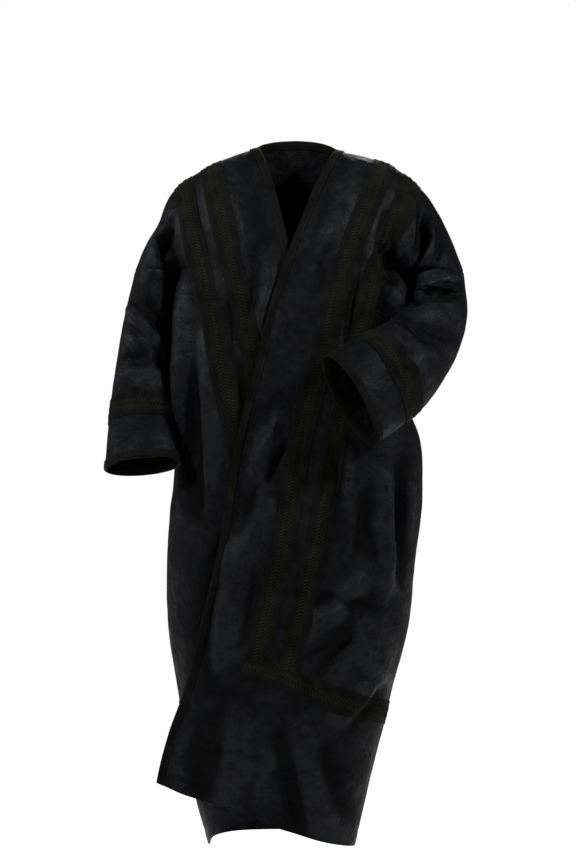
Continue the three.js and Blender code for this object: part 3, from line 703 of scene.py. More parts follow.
# %% Grid of the back
def back_half(side):
    """Half the back, from its middle to the side seam."""
    shoulder, neck = line_through(shoulders[side]), line_through(necks[side])
    total = lengths_of(shoulder)[-1]
    runs = np.interp(BACK_COLUMNS, np.arange(LAST_COLUMN + 1),
                     front_runs(SHOULDER_BRAID_RUN, total))
    neck_runs = NECK_FINE / NECK_COLUMNS
    tops = np.vstack([points_at(neck, neck_runs * lengths_of(neck)[-1]), points_at(shoulder, runs)])
    shares = np.concatenate([neck_runs * NECK_SHARE, NECK_SHARE + (1 - NECK_SHARE) * runs / total])
    columns = np.concatenate([NECK_FINE, BACK_COLUMNS + NECK_COLUMNS])
    lower = lower_rows(lambda z: back_line(side, z), lambda z, line: shares * lengths_of(line)[-1],
                       np.full(len(columns), HEM))
    lower = to_armpit(side, lower, columns, NECK_COLUMNS + LAST_COLUMN)
    upper = upper_rows(side, -1, tops, lower[0], columns, NECK_COLUMNS)
    return np.vstack([upper, lower])


def back_grid():
    """Both halves, from the left side seam to the right one."""
    left, right = back_half("left"), back_half("right")
    return np.concatenate([left[:, :0:-1], right], axis=1)


print("back:", back_grid().shape)

# %% [markdown]
# ## The sleeves, and all five panels
#
# A sleeve is a closed tube: its columns go round it and its rows down to the cuff, with lines at
# the edges of its braid and its binding. Its seam is drawn nowhere, because it lies on the hidden
# inner side. TURN says for each panel which way its normals have to be turned to point outwards.

# %% Grids of the sleeves, and all grids
ROUND = 2 * UPPER
SLEEVE_ROWS = fine([7] * ARM_ROWS + [9, 6, 6, 4])


def sleeve_grid(side):
    """All points of a sleeve."""
    centre = arm_frame(side, np.linspace(0, 1, LINE_POINTS))[0]
    length = lengths_of(centre)[-1]
    half = BRAID_WIDE / 2
    coarse = np.concatenate([
        np.linspace(0, length - CUFF_BRAID - half, ARM_ROWS + 1), [length - CUFF_BRAID + half],
        [length - (CUFF_BRAID - half + BINDING_WIDE) / 2, length - BINDING_WIDE, length]])
    rows = np.interp(SLEEVE_ROWS, np.arange(len(coarse)), coarse)
    return arm_points(side, rows / length, np.arange(ROUND) * np.pi / UPPER)


grids = {
    "back": back_grid(),
    "left_front": front_grid("left"),
    "right_front": front_grid("right"),
    "left_sleeve": sleeve_grid("left"),
    "right_sleeve": sleeve_grid("right"),
}
TURN = {"back": 1, "left_front": 1, "right_front": -1, "left_sleeve": -1, "right_sleeve": 1}
for name, grid in grids.items():
    print(name, grid.shape, grid.reshape(-1, 3).min(0).round(), grid.reshape(-1, 3).max(0).round())

# %% [markdown]
# ## Normals and seams
#
# Where two pieces are sewn, the cloth runs on across the seam. One merged mesh would do that by
# itself, but each panel is its own cut of cloth. So each seam is kept as two rows of points, one
# on each piece: at the shoulder, down the side, and round the armhole on the front and on the
# back.

# %% Where the seams are
def normals_of(name):
    """A normal at each point of a grid, outwards."""
    grid = grids[name]
    if "sleeve" in name:
        across = np.roll(grid, -1, axis=1) - np.roll(grid, 1, axis=1)
    else:
        across = np.gradient(grid, axis=1)
    normal = np.cross(np.gradient(grid, axis=0), across) * TURN[name]
    return normal / np.maximum(np.linalg.norm(normal, axis=2, keepdims=True), 1e-9)


middle = (grids["back"].shape[1] - 1) // 2
neck_fine = len(NECK_FINE)
seams = []
for side, back_side in (("left", 0), ("right", -1)):
    front, sleeve = f"{side}_front", f"{side}_sleeve"
    rows = np.arange(len(ROWS))
    # The shoulder seam, from the neck outwards.
    half_back = middle - neck_fine - np.arange(len(BACK_COLUMNS))
    if side == "right":
        half_back = middle + neck_fine + np.arange(len(BACK_COLUMNS))
    seams.append(((front, 0, np.arange(len(FRONT_COLUMNS)), FRONT_COLUMNS),
                  ("back", 0, half_back, BACK_COLUMNS)))
    # The side seam, and the sleeve's seam with the front and with the back.
    lower = rows[UPPER:]
    seams.append(((front, lower, -1, lower), ("back", lower, back_side, lower)))
    upper = rows[:UPPER + 1]
    seams.append(((front, upper, -1, upper), (sleeve, 0, upper, upper)))
    seams.append((("back", upper, back_side, upper), (sleeve, 0, -upper % ROUND, upper)))
print("seams:", len(seams))

# %% [markdown]
# ## Sharing across the seams
#
# Both sides of a seam take the mean of what they have there, first of their normals and then of
# their heights. A smoothing modifier would also round the folds. Twice round is enough where three
# seams meet.

# %% Means at the seams
def share_at_seams(values):
    """Both sides of each seam take the mean of what they have there."""
    for _ in range(2):
        for (a, ai, aj, at), (b, bi, bj, bt) in seams:
            one, two = values[a][ai, aj].copy(), values[b][bi, bj].copy()
            if one.ndim == 1:
                values[a][ai, aj] = (one + np.interp(at, bt, two)) / 2
                values[b][bi, bj] = (two + np.interp(bt, at, one)) / 2
                continue
            for n in range(3):
                values[a][ai, aj, n] = (one[:, n] + np.interp(at, bt, two[:, n])) / 2
                values[b][bi, bj, n] = (two[:, n] + np.interp(bt, at, one[:, n])) / 2


def all_normals():
    """The normals of all grids, shared at the seams."""
    found = {name: normals_of(name) for name in grids}
    share_at_seams(found)
    for name in found:
        found[name] /= np.maximum(np.linalg.norm(found[name], axis=2, keepdims=True), 1e-9)
    return found


normals = all_normals()
print("normals of:", sorted(normals))

# %% [markdown]
# ## Laying the folds on
#
# The folds, the unevenness and the lift of the left front over the right one are added up and laid
# on the grids along their normals. A displacement modifier could do it, but it doesn't know what
# lies across a seam. What the folds give is kept for the finish, which paints a highlight on each
# ridge and shade in each trough. The seam itself is a fine groove, into which both edges dip.

# %% Heights on the grids
GROOVE = 1.1
LAP_TOP, LAP_FADE = -150, 45        # level at which the lift starts, and over what height
LAP_PAST, LAP_SIDE = 15, 80         # beyond the right front's edge, and over what width
heights, folded = {}, {}
for name, grid in grids.items():
    on = "back" if name == "back" else "front" if "front" in name else name.replace("_s", "S")
    high = fold_height(on, grid, normals[name]) + ripple(grid)
    folded[name] = high.copy()
    if name == "left_front":
        under = edges["right"].at(np.maximum(grid[..., 2], -1340))["x"]
        past = ease((grid[..., 0] - under - LAP_PAST) / LAP_SIDE)
        high += LAP * ease((LAP_TOP - grid[..., 2]) / LAP_FADE) * (1 - past)
    heights[name] = high
share_at_seams(heights)
share_at_seams(folded)
for (a, ai, aj, _), (b, bi, bj, _) in seams:
    heights[a][ai, aj] -= GROOVE
    heights[b][bi, bj] -= GROOVE
for name in grids:
    grids[name] = grids[name] + normals[name] * heights[name][..., None]
normals = all_normals()
print("highest:", {name: float(high.max().round()) for name, high in heights.items()})

# %% [markdown]
# ## A mesh whose faces point outwards
#
# Light and shadow need faces that point outwards. Blender can recalculate them, but the signed
# volume of a closed shell tells it at once: if it is negative, every face is turned. Edges over
# one radian stay sharp, which keeps the rims of the cloth crisp.

# %% Points and faces to an object
SHARP = 1.0     # radians


def make_mesh(name, verts, faces, uv):
    """A mesh whose faces point outwards, smooth apart from its sharp edges."""
    mesh = bpy.data.meshes.new(name)
    a, b, c, d = (verts[faces[:, k]] for k in range(4))
    if (a * (np.cross(b, c) + np.cross(c, d))).sum() < 0:
        faces = faces[:, ::-1]
    mesh.from_pydata(verts.tolist(), [], faces.tolist())
    layer = mesh.uv_layers.new(name="UVMap")
    layer.data.foreach_set("uv", uv[faces.reshape(-1)].reshape(-1))
    mesh.shade_smooth()
    mesh.set_sharp_from_angle(angle=SHARP)
    obj = bpy.data.objects.new(name, mesh)
    bpy.context.scene.collection.objects.link(obj)
    return obj


print("sharp from", round(np.degrees(SHARP)), "degrees")

# %% [markdown]
# ## A wall of cloth
#
# Cloth has two faces and a rim. The Solidify modifier makes them from a sheet, but here the outer
# face has heights of its own: a braid's cords, a hem's step. So a wall is a closed shell between
# two distances out from the points of a grid. Its UV map is in metres, across and down the cloth,
# so that a weave on it has its true size.

# %% A closed shell on a grid
def wall(name, p, n, high, low, closed=False):
    """A shell on points p with normals n, its faces high and low above them."""
    high = np.broadcast_to(high, p.shape[:2])[..., None]
    down, across = p.shape[:2]
    outer, inner = p + n * high, p + n * low
    verts = np.concatenate([outer.reshape(-1, 3), inner.reshape(-1, 3)]) * MM
    layer = down * across
    i, j = np.meshgrid(np.arange(down - 1), np.arange(across if closed else across - 1),
                       indexing="ij")
    nxt = (j + 1) % across
    a, b, c, d = i * across + j, (i + 1) * across + j, (i + 1) * across + nxt, i * across + nxt
    quads = np.stack([a, b, c, d], -1).reshape(-1, 4)
    faces = [quads, quads[:, ::-1] + layer]
    numbers = np.arange(layer).reshape(down, across)
    rims = [(numbers[0][::-1], closed), (numbers[-1], closed)]
    if not closed:
        rims += [(numbers[:, 0], False), (numbers[:, -1][::-1], False)]
    for line, loop in rims:
        after = np.roll(line, -1) if loop else line[1:]
        before = line if loop else line[:-1]
        faces.append(np.stack([before, before + layer, after + layer, after], -1))
    faces = np.concatenate(faces)
    step = np.linalg.norm(np.diff(p, axis=1), axis=2).mean(0)
    u = np.concatenate([[0], np.cumsum(step)])
    v = np.concatenate([[0], np.cumsum(np.linalg.norm(np.diff(p, axis=0), axis=2).mean(1))])
    uv = np.stack(np.meshgrid(u, v), -1).reshape(-1, 2) * MM
    return make_mesh(name, verts, faces, np.concatenate([uv, uv]))


print("wall of the left front:", grids["left_front"].shape[:2], "points on each face")

# %% [markdown]
# ## The five panels
#
# A turned hem is two layers thick. It ends in a soft step, with a dip where it is sewn down. It
# could be a strip of its own, but it is the same cloth, so the panel's outer face is raised there.
# Each point's fold height is kept on the mesh for the finish's painted highlight and shade.

# %% Hems and panels
HEM_THICK, HEM_WIDE, HEM_STEP = 0.9, 21, 6      # extra height, its width, and its step
SEWN_DEEP, SEWN_AT, SEWN_WIDE = 0.7, 27, 4      # the dip along the sewn edge
FOLD_SHADING_OVER = 16                                # height from a trough painted dark to a ridge painted light


def hem_height(name):
    """A turned hem is thicker, with a soft step at its sewn edge."""
    if "sleeve" in name:
        return 0.0
    run = np.linalg.norm(np.diff(grids[name], axis=0), axis=2)
    below = np.vstack([np.cumsum(run[::-1], axis=0)[::-1], np.zeros((1, run.shape[1]))])
    dip = SEWN_DEEP * np.exp(-((below - SEWN_AT) / SEWN_WIDE) ** 2)
    return HEM_THICK * (1 - ease((below - HEM_WIDE) / HEM_STEP)) - dip


panels = {}
for name, grid in grids.items():
    panels[name] = wall(f"{name}_cloth", grid, normals[name], hem_height(name), -CLOTH,
                        "sleeve" in name)
    # painted highlight and shade: the fold height of each point, kept for the finish to colour by
    wear_and_fold_shading = np.clip(0.5 + folded[name].reshape(-1) / FOLD_SHADING_OVER, 0, 1)
    rubbed = panels[name].data.attributes.new("rubbed", "FLOAT", "POINT")
    rubbed.data.foreach_set("value", np.tile(wear_and_fold_shading, 2))
print({name: len(piece.data.polygons) for name, piece in panels.items()})

# %% [markdown]
# ## A finer grid for the trim
#
# A braid is narrow and has a relief across it, so it needs more points than the cloth below. A
# Subdivision Surface would round its ends. A cubic through the cloth's own points keeps it on the
# cloth, over every fold.

# %% Finer rows and columns
def between(values, low, high):
    """The places of the values from low to high."""
    return np.nonzero((values >= low - 1e-6) & (values <= high + 1e-6))[0]


def refine(grid, normal, rows, columns, across, down, closed=False):
    """A finer grid over some rows and columns."""
    p, n = grid[np.ix_(rows, columns)], normal[np.ix_(rows, columns)]
    if closed:
        p, n = (np.concatenate([v, v[:, :1]], axis=1) for v in (p, n))

    def finer(v, count, axis):
        v = np.moveaxis(v, axis, 0)
        new = np.linspace(0, len(v) - 1, (len(v) - 1) * count + 1)
        low = np.minimum(new.astype(int), len(v) - 2)
        t = (new - low)[:, None, None]
        back, ahead = np.maximum(low - 1, 0), np.minimum(low + 2, len(v) - 1)
        a, b = v[low], v[low + 1]
        m0, m1 = (b - v[back]) / 2, (v[ahead] - a) / 2
        smooth = (a * (2 * t**3 - 3 * t**2 + 1) + b * (3 * t**2 - 2 * t**3)
                  + m0 * (t**3 - 2 * t**2 + t) + m1 * (t**3 - t**2))
        return np.moveaxis(smooth, 0, axis)

    p, n = (finer(finer(v, down, 0), across, 1) for v in (p, n))
    if closed:
        p, n = p[:, :-1], n[:, :-1]
    return p, n / np.linalg.norm(n, axis=2, keepdims=True)


print("columns of the inner braid:", len(between(FRONT_COLUMNS, 3, 4)))

# %% [markdown]
# ## A braid
#
# The braid is a woven ribbon with two thin cords along each border. It could be drawn on the
# cloth, but its borders catch the light, so it is a strip of its own that stands a little off the
# panel. The line along its middle, which the raised threads follow, is kept with it.

# %% A strip with cords
BRAID_CLEAR = 0.2       # between the strip and the cloth
CORDS = (0.06, 0.2, 0.8, 0.94)      # places across the braid
CORD_HIGH, CORD_WIDE = 0.5, 0.035   # a height, and a share of the braid
LINE_OVER = 0.1         # from the flat of the braid to the line of its threads


def braid_profile(count):
    """Heights across a braid: its bordering cords and its flat middle."""
    t = np.linspace(0, 1, count)
    cord = sum(np.exp(-((t - c) / CORD_WIDE) ** 2) for c in CORDS)
    return BRAID_THICK + CORD_HIGH * cord - CORD_HIGH * (np.abs(t - 0.5) > 0.49)


def braid_strip(name, grid, normal, rows, columns, along_rows, closed=False):
    """A braid on some rows and columns, and the line along its middle with its normals."""
    across, down = (3, 1) if along_rows else (1, 3)
    p, n = refine(grid, normal, rows, columns, across, down, closed)
    high = braid_profile(p.shape[1] if along_rows else p.shape[0])
    high = high[None, :] if along_rows else high[:, None]
    strip = wall(name, p, n, high, BRAID_CLEAR, closed)
    if not along_rows:
        p, n = np.moveaxis(p, 0, 1), np.moveaxis(n, 0, 1)
    centre = p.shape[1] // 2
    lift = n[:, centre] * (BRAID_THICK + LINE_OVER)
    return strip, p[:, centre] + lift, n[:, centre], closed


print("heights across a braid:", braid_profile(13).round(1))

# %% [markdown]
# ## A binding
#
# The binding is a ribbed tape, folded over the raw edge and sewn down on both faces. A bevelled
# curve would be round. This one has a flat section of twelve corners that runs over the edge from
# the outside to the inside, and small stitches along a line on its outer face.

# %% A tape over an edge
SEW_IN, SEW_HIGH = 2.2, 2.0     # the stitches: from the tape's edge, and off the cloth
# each corner: where it is measured from, how far out past that, and how far off the cloth
BINDING_SECTION = (
    ("inside", 0, 0.1), ("inside", 0.6, 1.5), ("middle", 0, 2.1), ("edge", -2.5, 2.2),
    ("edge", 0.4, 1.6), ("edge", 1.9, 0.2), ("edge", 2.2, -1.5), ("edge", 1.9, -3.2),
    ("edge", 0.4, -4.6), ("middle", 0, -4.9), ("inside", 0, -4.5), ("inside", 0, -3.1))


def binding_piece(name, edge, inside, edge_normal, inside_normal, closed):
    """A ribbed strip round an edge, and the line of its stitches."""
    out = edge - inside
    out /= np.linalg.norm(out, axis=1, keepdims=True)
    bases = {"edge": (edge, edge_normal),
             "middle": (edge - out * BINDING_WIDE * 0.5, (edge_normal + inside_normal) / 2),
             "inside": (edge - out * BINDING_WIDE, inside_normal)}
    ring = np.stack([bases[base][0] + out * beyond + bases[base][1] * high
                     for base, beyond, high in BINDING_SECTION], axis=1)
    count, sides = ring.shape[:2]
    i, j = np.meshgrid(np.arange(count if closed else count - 1), np.arange(sides), indexing="ij")
    nxt, jn = (i + 1) % count, (j + 1) % sides
    faces = np.stack([i * sides + j, nxt * sides + j, nxt * sides + jn, i * sides + jn], -1)
    faces = faces.reshape(-1, 4)
    if not closed:
        fold = [(k, k + 1, sides - 2 - k, sides - 1 - k) for k in range(sides // 2 - 1)]
        last = (count - 1) * sides
        caps = [quad[::-1] for quad in fold] + [tuple(q + last for q in quad) for quad in fold]
        faces = np.vstack([faces, caps])
    u = np.arange(sides) / sides * 2 * BINDING_WIDE
    uv = np.stack(np.meshgrid(u, lengths_of(edge)), -1).reshape(-1, 2) * MM
    piece = make_mesh(name, ring.reshape(-1, 3) * MM, faces, uv)
    off = (edge_normal * 0.15 + inside_normal * 0.85) * SEW_HIGH
    return piece, edge - out * (BINDING_WIDE - SEW_IN) + off, inside_normal, closed


print("corners of a binding's section:", len(BINDING_SECTION))

# %% [markdown]
# ## Braids and bindings of the fronts and sleeves
#
# Two braids run down each front to the level one, which closes them off above the hem, and one
# goes round each sleeve. The free edges and the cuffs are bound. All of it is the same on both
# sides, so one loop makes it.

# %% Trim on both sides
paths, trims = {}, {}
CROSS = UPPER_ROWS + LOWER_ROWS
for side in ("left", "right"):
    name = f"{side}_front"
    grid, normal = grids[name], normals[name]
    for which, first in (("inner", 3), ("outer", 5)):
        key = f"{side}_{which}_braid"
        paths[key] = braid_strip(key + "_woven", grid, normal, between(ROWS, 0, CROSS),
                                 between(FRONT_COLUMNS, first, first + 1), True)
    key = f"{side}_cross_braid"
    paths[key] = braid_strip(key + "_woven", grid, normal, between(ROWS, CROSS, CROSS + 1),
                             between(FRONT_COLUMNS, 3, LAST_COLUMN), False)
    one = int(np.searchsorted(FRONT_COLUMNS, 1))
    key = f"{side}_front_binding"
    trims[key] = binding_piece(key + "_ribbed", grid[:, 0], grid[:, one], normal[:, 0],
                               normal[:, one], False)
    name = f"{side}_sleeve"
    grid, normal = grids[name], normals[name]
    key = f"{side}_sleeve_braid"
    paths[key] = braid_strip(key + "_woven", grid, normal,
                             between(SLEEVE_ROWS, ARM_ROWS, ARM_ROWS + 1),
                             np.arange(ROUND), False, True)
    key = f"{side}_cuff_binding"
    trims[key] = binding_piece(key + "_ribbed", grid[-1], grid[-5], normal[-1], normal[-5], True)
print("braids:", sorted(paths))

# %% [markdown]
# ## The binding of the back neck
#
# The back of the neck is bound with the same tape. There is no inner column to measure from, so
# the way out over the edge is found from the edge itself: square to it and to the cloth's normal.

# %% Tape along the nape
grid, normal = grids["back"], normals["back"]
nape = np.arange(middle - neck_fine, middle + neck_fine + 1)
edge, edge_normal = grid[0, nape], normal[0, nape]
way = np.gradient(edge, axis=0)
outward = np.cross(edge_normal, way)
outward *= np.sign(outward[len(nape) // 2, 2]) / np.linalg.norm(outward, axis=1, keepdims=True)
trims["back_neck_binding"] = binding_piece(
    "back_neck_binding_ribbed", edge, edge - outward * BINDING_WIDE, edge_normal, edge_normal,
    False)
print("bindings:", sorted(trims))

# %% [markdown]
# ## Small beads
#
# Raised threads make a row of chevrons down each braid, and the bindings are sewn with short
# stitches. Both could be a bump texture, but from the side they would be flat. Each is one small
# bead with a few faces, closed underneath and a little sunk, because hundreds are used.

# %% Chevrons and stitches
SUNK = 0.3          # how far a bead goes into what it stands on
APART = 1.12        # more than 1, so that the strokes of a chevron don't quite touch
LEAN = 0.2


def small_shape(name, rings):
    """A small raised bead: rows of (x, half width, height), closed underneath."""
    verts, faces = [], []
    for x, wide, high in rings:
        verts += [(x, -wide, -SUNK), (x, -wide * 0.7, high * 0.7), (x, 0, high),
                  (x, wide * 0.7, high * 0.7), (x, wide, -SUNK)]
    for k in range(len(rings) - 1):
        for n in range(5):
            a, b = k * 5 + n, k * 5 + (n + 1) % 5
            faces.append((a, a + 5, b + 5, b))
    faces += [(0, 1, 2, 3, 4), tuple(range(len(verts) - 1, len(verts) - 6, -1))]
    mesh = bpy.data.meshes.new(name)
    mesh.from_pydata([tuple(c * MM for c in v) for v in verts], [], faces)
    mesh.shade_smooth()
    return mesh


def chevron(name, reach, rise):
    """Two slanting strokes that meet in the middle of the braid."""
    rings = [(-1, 0.4, 0.2), (-0.6, 1.0, 0.7), (0.6, 1.0, 0.7), (1, 0.4, 0.2)]
    mesh = small_shape(name + "_stroke", rings)
    base = np.array([v.co[:] for v in mesh.vertices])
    faces = [tuple(p.vertices) for p in mesh.polygons]
    verts, all_faces = [], []
    for turn in (-1, 1):
        along, wide, high = base[:, 0] * 1000, base[:, 1], base[:, 2]
        side = turn * (along + APART) / 2 * reach * MM
        fore = (along + 1) / 2 * rise * MM + wide
        start = len(verts)
        verts += list(zip(fore, side + wide * turn * LEAN, high))
        step = -1 if turn > 0 else 1
        all_faces += [tuple(start + k for k in face[::step]) for face in faces]
    bpy.data.meshes.remove(mesh)
    mesh = bpy.data.meshes.new(name)
    mesh.from_pydata([tuple(map(float, v)) for v in verts], [], all_faces)
    mesh.shade_smooth()
    return mesh


stitch = [(-1.7, 0.2, 0.0), (-1.1, 0.5, 0.5), (1.1, 0.5, 0.5), (1.7, 0.2, 0.0)]
shapes = {"chevron": chevron("chevron", 9.5, 7.0), "stitch": small_shape("stitch", stitch)}
shape_objects = {name: bpy.data.objects.new(name, mesh) for name, mesh in shapes.items()}
for obj in shape_objects.values():
    bpy.context.scene.collection.objects.link(obj)
print("faces of a bead:", {name: len(mesh.polygons) for name, mesh in shapes.items()})

# %% [markdown]
# ## What repeats
#
# One Geometry Nodes tree sets beads along a line: it makes the line a curve, divides it evenly,
# sets a bead on each point and turns it to the line and to the cloth's normal. An Array modifier
# with a Curve modifier would bend the beads and twist them off the cloth.

# %% The tree
def along_tree():
    """The tree that sets a shape along a line, and the identifiers of its inputs."""
    tree = bpy.data.node_groups.new("along_a_line", "GeometryNodeTree")
    face = tree.interface
    face.new_socket("Geometry", in_out="OUTPUT", socket_type="NodeSocketGeometry")
    sockets = {"Geometry": "Geometry", "Shape": "Object", "Line": "Object", "Spacing": "Float",
               "Finish": "Material"}
    ids = {name: face.new_socket(name, in_out="INPUT", socket_type="NodeSocket" + kind).identifier
           for name, kind in sockets.items()}

    def node(kind, output, settings=None, **links):
        """One output of a new node, whose settings are made before its links."""
        made = tree.nodes.new(kind)
        for key, value in (settings or {}).items():
            setattr(made, key, value)
        for key, socket in links.items():
            tree.links.new(socket, made.inputs[key.replace("_", " ")])
        return made.outputs[output]

    given, end = tree.nodes.new("NodeGroupInput").outputs, tree.nodes.new("NodeGroupOutput")
    line = node("GeometryNodeObjectInfo", "Geometry", Object=given["Line"])
    shape = node("GeometryNodeObjectInfo", "Geometry", Object=given["Shape"])
    curve = node("GeometryNodeMeshToCurve", "Curve", Mesh=line)
    even = node("GeometryNodeResampleCurve", "Curve", {"mode": "LENGTH"}, Curve=curve,
                Length=given["Spacing"])
    up = node("GeometryNodeInputNamedAttribute", "Attribute", {"data_type": "FLOAT_VECTOR"})
    up.node.inputs["Name"].default_value = "up"
    turn = node("FunctionNodeAxesToRotation", "Rotation",
                {"primary_axis": "Z", "secondary_axis": "X"}, Primary_Axis=up,
                Secondary_Axis=node("GeometryNodeInputTangent", "Tangent"))
    place = node("GeometryNodeInstanceOnPoints", "Instances", Points=even, Instance=shape,
                 Rotation=turn)
    real = node("GeometryNodeRealizeInstances", "Geometry", Geometry=place)
    paint = node("GeometryNodeSetMaterial", "Geometry", Geometry=real, Material=given["Finish"])
    join = node("GeometryNodeJoinGeometry", "Geometry", Geometry=given["Geometry"])
    tree.links.new(paint, join.node.inputs["Geometry"])
    tree.links.new(join, end.inputs["Geometry"])
    return tree, ids


tree, ids = along_tree()
print("inputs of the tree:", sorted(ids))

# %% [markdown]
# ## Beads on a piece
#
# The modifier needs the line as an object that carries the cloth's normal on each point. Its
# inputs are set by their identifiers. The result is then read back as a plain mesh, so nothing
# depends on the line or the tree later.

# %% From the modifier to a plain mesh
def dress(piece, line, normal, closed, shape, spacing, finish):
    """Adds one small shape after another along a line of a piece, and leaves a plain mesh."""
    mesh = bpy.data.meshes.new("line")
    count = len(line)
    pairs = [(k, (k + 1) % count) for k in range(count if closed else count - 1)]
    mesh.from_pydata((line * MM).tolist(), pairs, [])
    up = mesh.attributes.new("up", "FLOAT_VECTOR", "POINT")
    up.data.foreach_set("vector", normal.reshape(-1).astype(np.float32))
    guide = bpy.data.objects.new("line", mesh)
    bpy.context.scene.collection.objects.link(guide)
    modifier = piece.modifiers.new("along", "NODES")
    modifier.node_group = tree
    inputs = {"Shape": shape_objects[shape], "Line": guide, "Spacing": spacing * MM,
              "Finish": finish}
    for name, value in inputs.items():
        modifier[ids[name]] = value
    piece.update_tag()
    bpy.context.view_layer.update()
    graph = bpy.context.evaluated_depsgraph_get()
    result = bpy.data.meshes.new_from_object(piece.evaluated_get(graph))
    piece.modifiers.clear()
    old = piece.data
    piece.data = result
    bpy.data.meshes.remove(old)
    bpy.data.objects.remove(guide)
    bpy.data.meshes.remove(mesh)


print("lines to dress:", len(paths) + len(trims))

# %% [markdown]
# ## Patterns as sums
#
# A finish is a sum of patterns. Its nodes could be wired one by one, but the sum is then hard to
# see. This small class wraps a node's output and overloads plus, minus and times, so that a
# pattern is written as it is thought. Any other node comes from its method node.

# %% A wrapped output
class Out:
    """An output of a node, on which patterns are built."""

    def __init__(self, tree, socket):
        self.tree, self.socket = tree, socket

    def node(self, kind, output=0, settings=None, **inputs):
        """A new node with its settings, then the values or links of its inputs."""
        made = self.tree.nodes.new(kind)
        for key, value in (settings or {}).items():
            setattr(made, key, value)
        for key, value in inputs.items():
            by_number = key[0] == "i" and key[1:].isdigit()
            slot = made.inputs[int(key[1:]) if by_number else key.replace("_", " ")]
            if isinstance(value, Out):
                self.tree.links.new(value.socket, slot)
            else:
                slot.default_value = value
        return Out(self.tree, made.outputs[output])

    def math(self, operation, a, b=0.0):
        return self.node("ShaderNodeMath", settings={"operation": operation}, i0=a, i1=b)

    def __add__(self, other): return self.math("ADD", self, other)
    def __radd__(self, other): return self.math("ADD", other, self)
    def __sub__(self, other): return self.math("SUBTRACT", self, other)
    def __rsub__(self, other): return self.math("SUBTRACT", other, self)
    def __mul__(self, other): return self.math("MULTIPLY", self, other)
    def __rmul__(self, other): return self.math("MULTIPLY", other, self)
    def sin(self): return self.math("SINE", self)

    def ramp(self, low, high, start=0.0, end=1.0):
        return self.node("ShaderNodeMapRange", Value=self, From_Min=low, From_Max=high,
                         To_Min=start, To_Max=end)

    def noise(self, scale, detail=3.0, roughness=0.55):
        return self.node("ShaderNodeTexNoise", Vector=self, Scale=scale, Detail=detail,
                         Roughness=roughness)

    def mix(self, dark, light):
        return self.node("ShaderNodeMix", "Result", {"data_type": "RGBA"}, Factor=self,
                         A=(*dark, 1), B=(*light, 1))


print("methods:", [name for name in vars(Out) if not name.startswith("_")])

# %% [markdown]
# ## The frame of a finish
#
# Each finish is a dull Principled surface: a colour, a roughness and two or three bumps, and a
# low, slightly cool or warm gleam. A sheen layer is usual for velvet, but it pales the edges of
# near-black cloth, so none is used. Patterns read the object's own coordinates in metres, or the
# UV map where they have to follow a strip.

# %% A new finish, and its last links
def new_material(name, tint, specular):
    """A material, its shader, and the two kinds of coordinates."""
    material = bpy.data.materials.new(name)
    material.use_nodes = True
    shader = material.node_tree.nodes["Principled BSDF"]
    shader.inputs["Specular IOR Level"].default_value = specular
    shader.inputs["Specular Tint"].default_value = (*tint, 1)
    coordinates = material.node_tree.nodes.new("ShaderNodeTexCoord")
    place = Out(material.node_tree, coordinates.outputs["Object"])
    uv = Out(material.node_tree, coordinates.outputs["UV"])
    return material, shader, place, uv


def finish_material(material, shader, colour, rough, bumps):
    """Links colour, roughness and bumps, each of a height, a distance and a strength."""
    tree = material.node_tree
    tree.links.new(colour.socket, shader.inputs["Base Color"])
    tree.links.new(rough.socket, shader.inputs["Roughness"])
    bump = {}
    for height, distance, strength in bumps:
        bump["Normal"] = height.node("ShaderNodeBump", "Normal", Height=height, Distance=distance,
                                     Strength=strength, **bump)
    tree.links.new(bump["Normal"].socket, shader.inputs["Normal"])
    return material


print("coordinates: the object's own, and its UV map")

# %% [markdown]
# ## Bonded suede
#
# The cloth is nearly black and dull, with a short nap that lies this way and that, so it is
# patchy. On ridges it is smoother, and its colour has a painted highlight there and painted shade
# in the troughs. One noise would look like stone. Three of very different sizes stand for the lie
# of the nap, its brushing and its single flecks, and the height of the folds, kept on the mesh,
# gives the painted highlight and shade.

# %% Velour
def velour():
    """Bonded suede: a short nap that lies this way and that, with painted highlight on the ridges
    and painted shade in the troughs.
    """
    material, shader, place, _ = new_material("velour", (0.88, 0.92, 1.0), 0.07)
    nap = place.noise(9, 6.0, 0.68)
    brushed = place.noise(52, 4.0, 0.65)
    fleck = place.noise(700, 2.0)
    patches = nap.ramp(0.42, 0.64) * brushed.ramp(0.25, 0.70)
    tone = patches * 0.5 + brushed.ramp(0.4, 0.7) * 0.25 + fleck.ramp(0.3, 0.7) * 0.25
    # painted highlight and shade: the fold height scales the colour from an eighth in the troughs
    # to nearly three times on the ridges, and makes the ridges a little smoother
    rubbed = place.node("ShaderNodeAttribute", 2, {"attribute_name": "rubbed"})
    tone = tone * rubbed.ramp(0.30, 0.82, 0.12, 2.7)
    colour = tone.mix((0.0006, 0.0006, 0.0006), (0.0100, 0.0103, 0.0117))
    rough = nap.ramp(0.40, 0.64, 0.68, 0.44) + rubbed.ramp(0.2, 0.8, 0.06, -0.08)
    crease = place.noise(24, 4.0, 0.6)
    return finish_material(material, shader, colour, rough,
                           [(crease, 0.012, 0.5), (brushed, 0.005, 0.5), (fleck, 0.0006, 0.5)])


cloth = velour()
print(cloth.name, "nodes:", len(cloth.node_tree.nodes))

# %% [markdown]
# ## Braid and binding
#
# Both are woven tapes: fine ribs lie across the strip, and finer yarns cross them. The ribs could
# be modelled, but they stand up by only half a millimetre, so they are sine waves over the UV map,
# which is in metres and follows the cloth. Wear in soft patches breaks them up. The raised
# threads are the same weave in a paler yarn.

# %% Woven tapes
YARN = 3900.0       # radians in a metre, so one yarn in about 1.6 mm


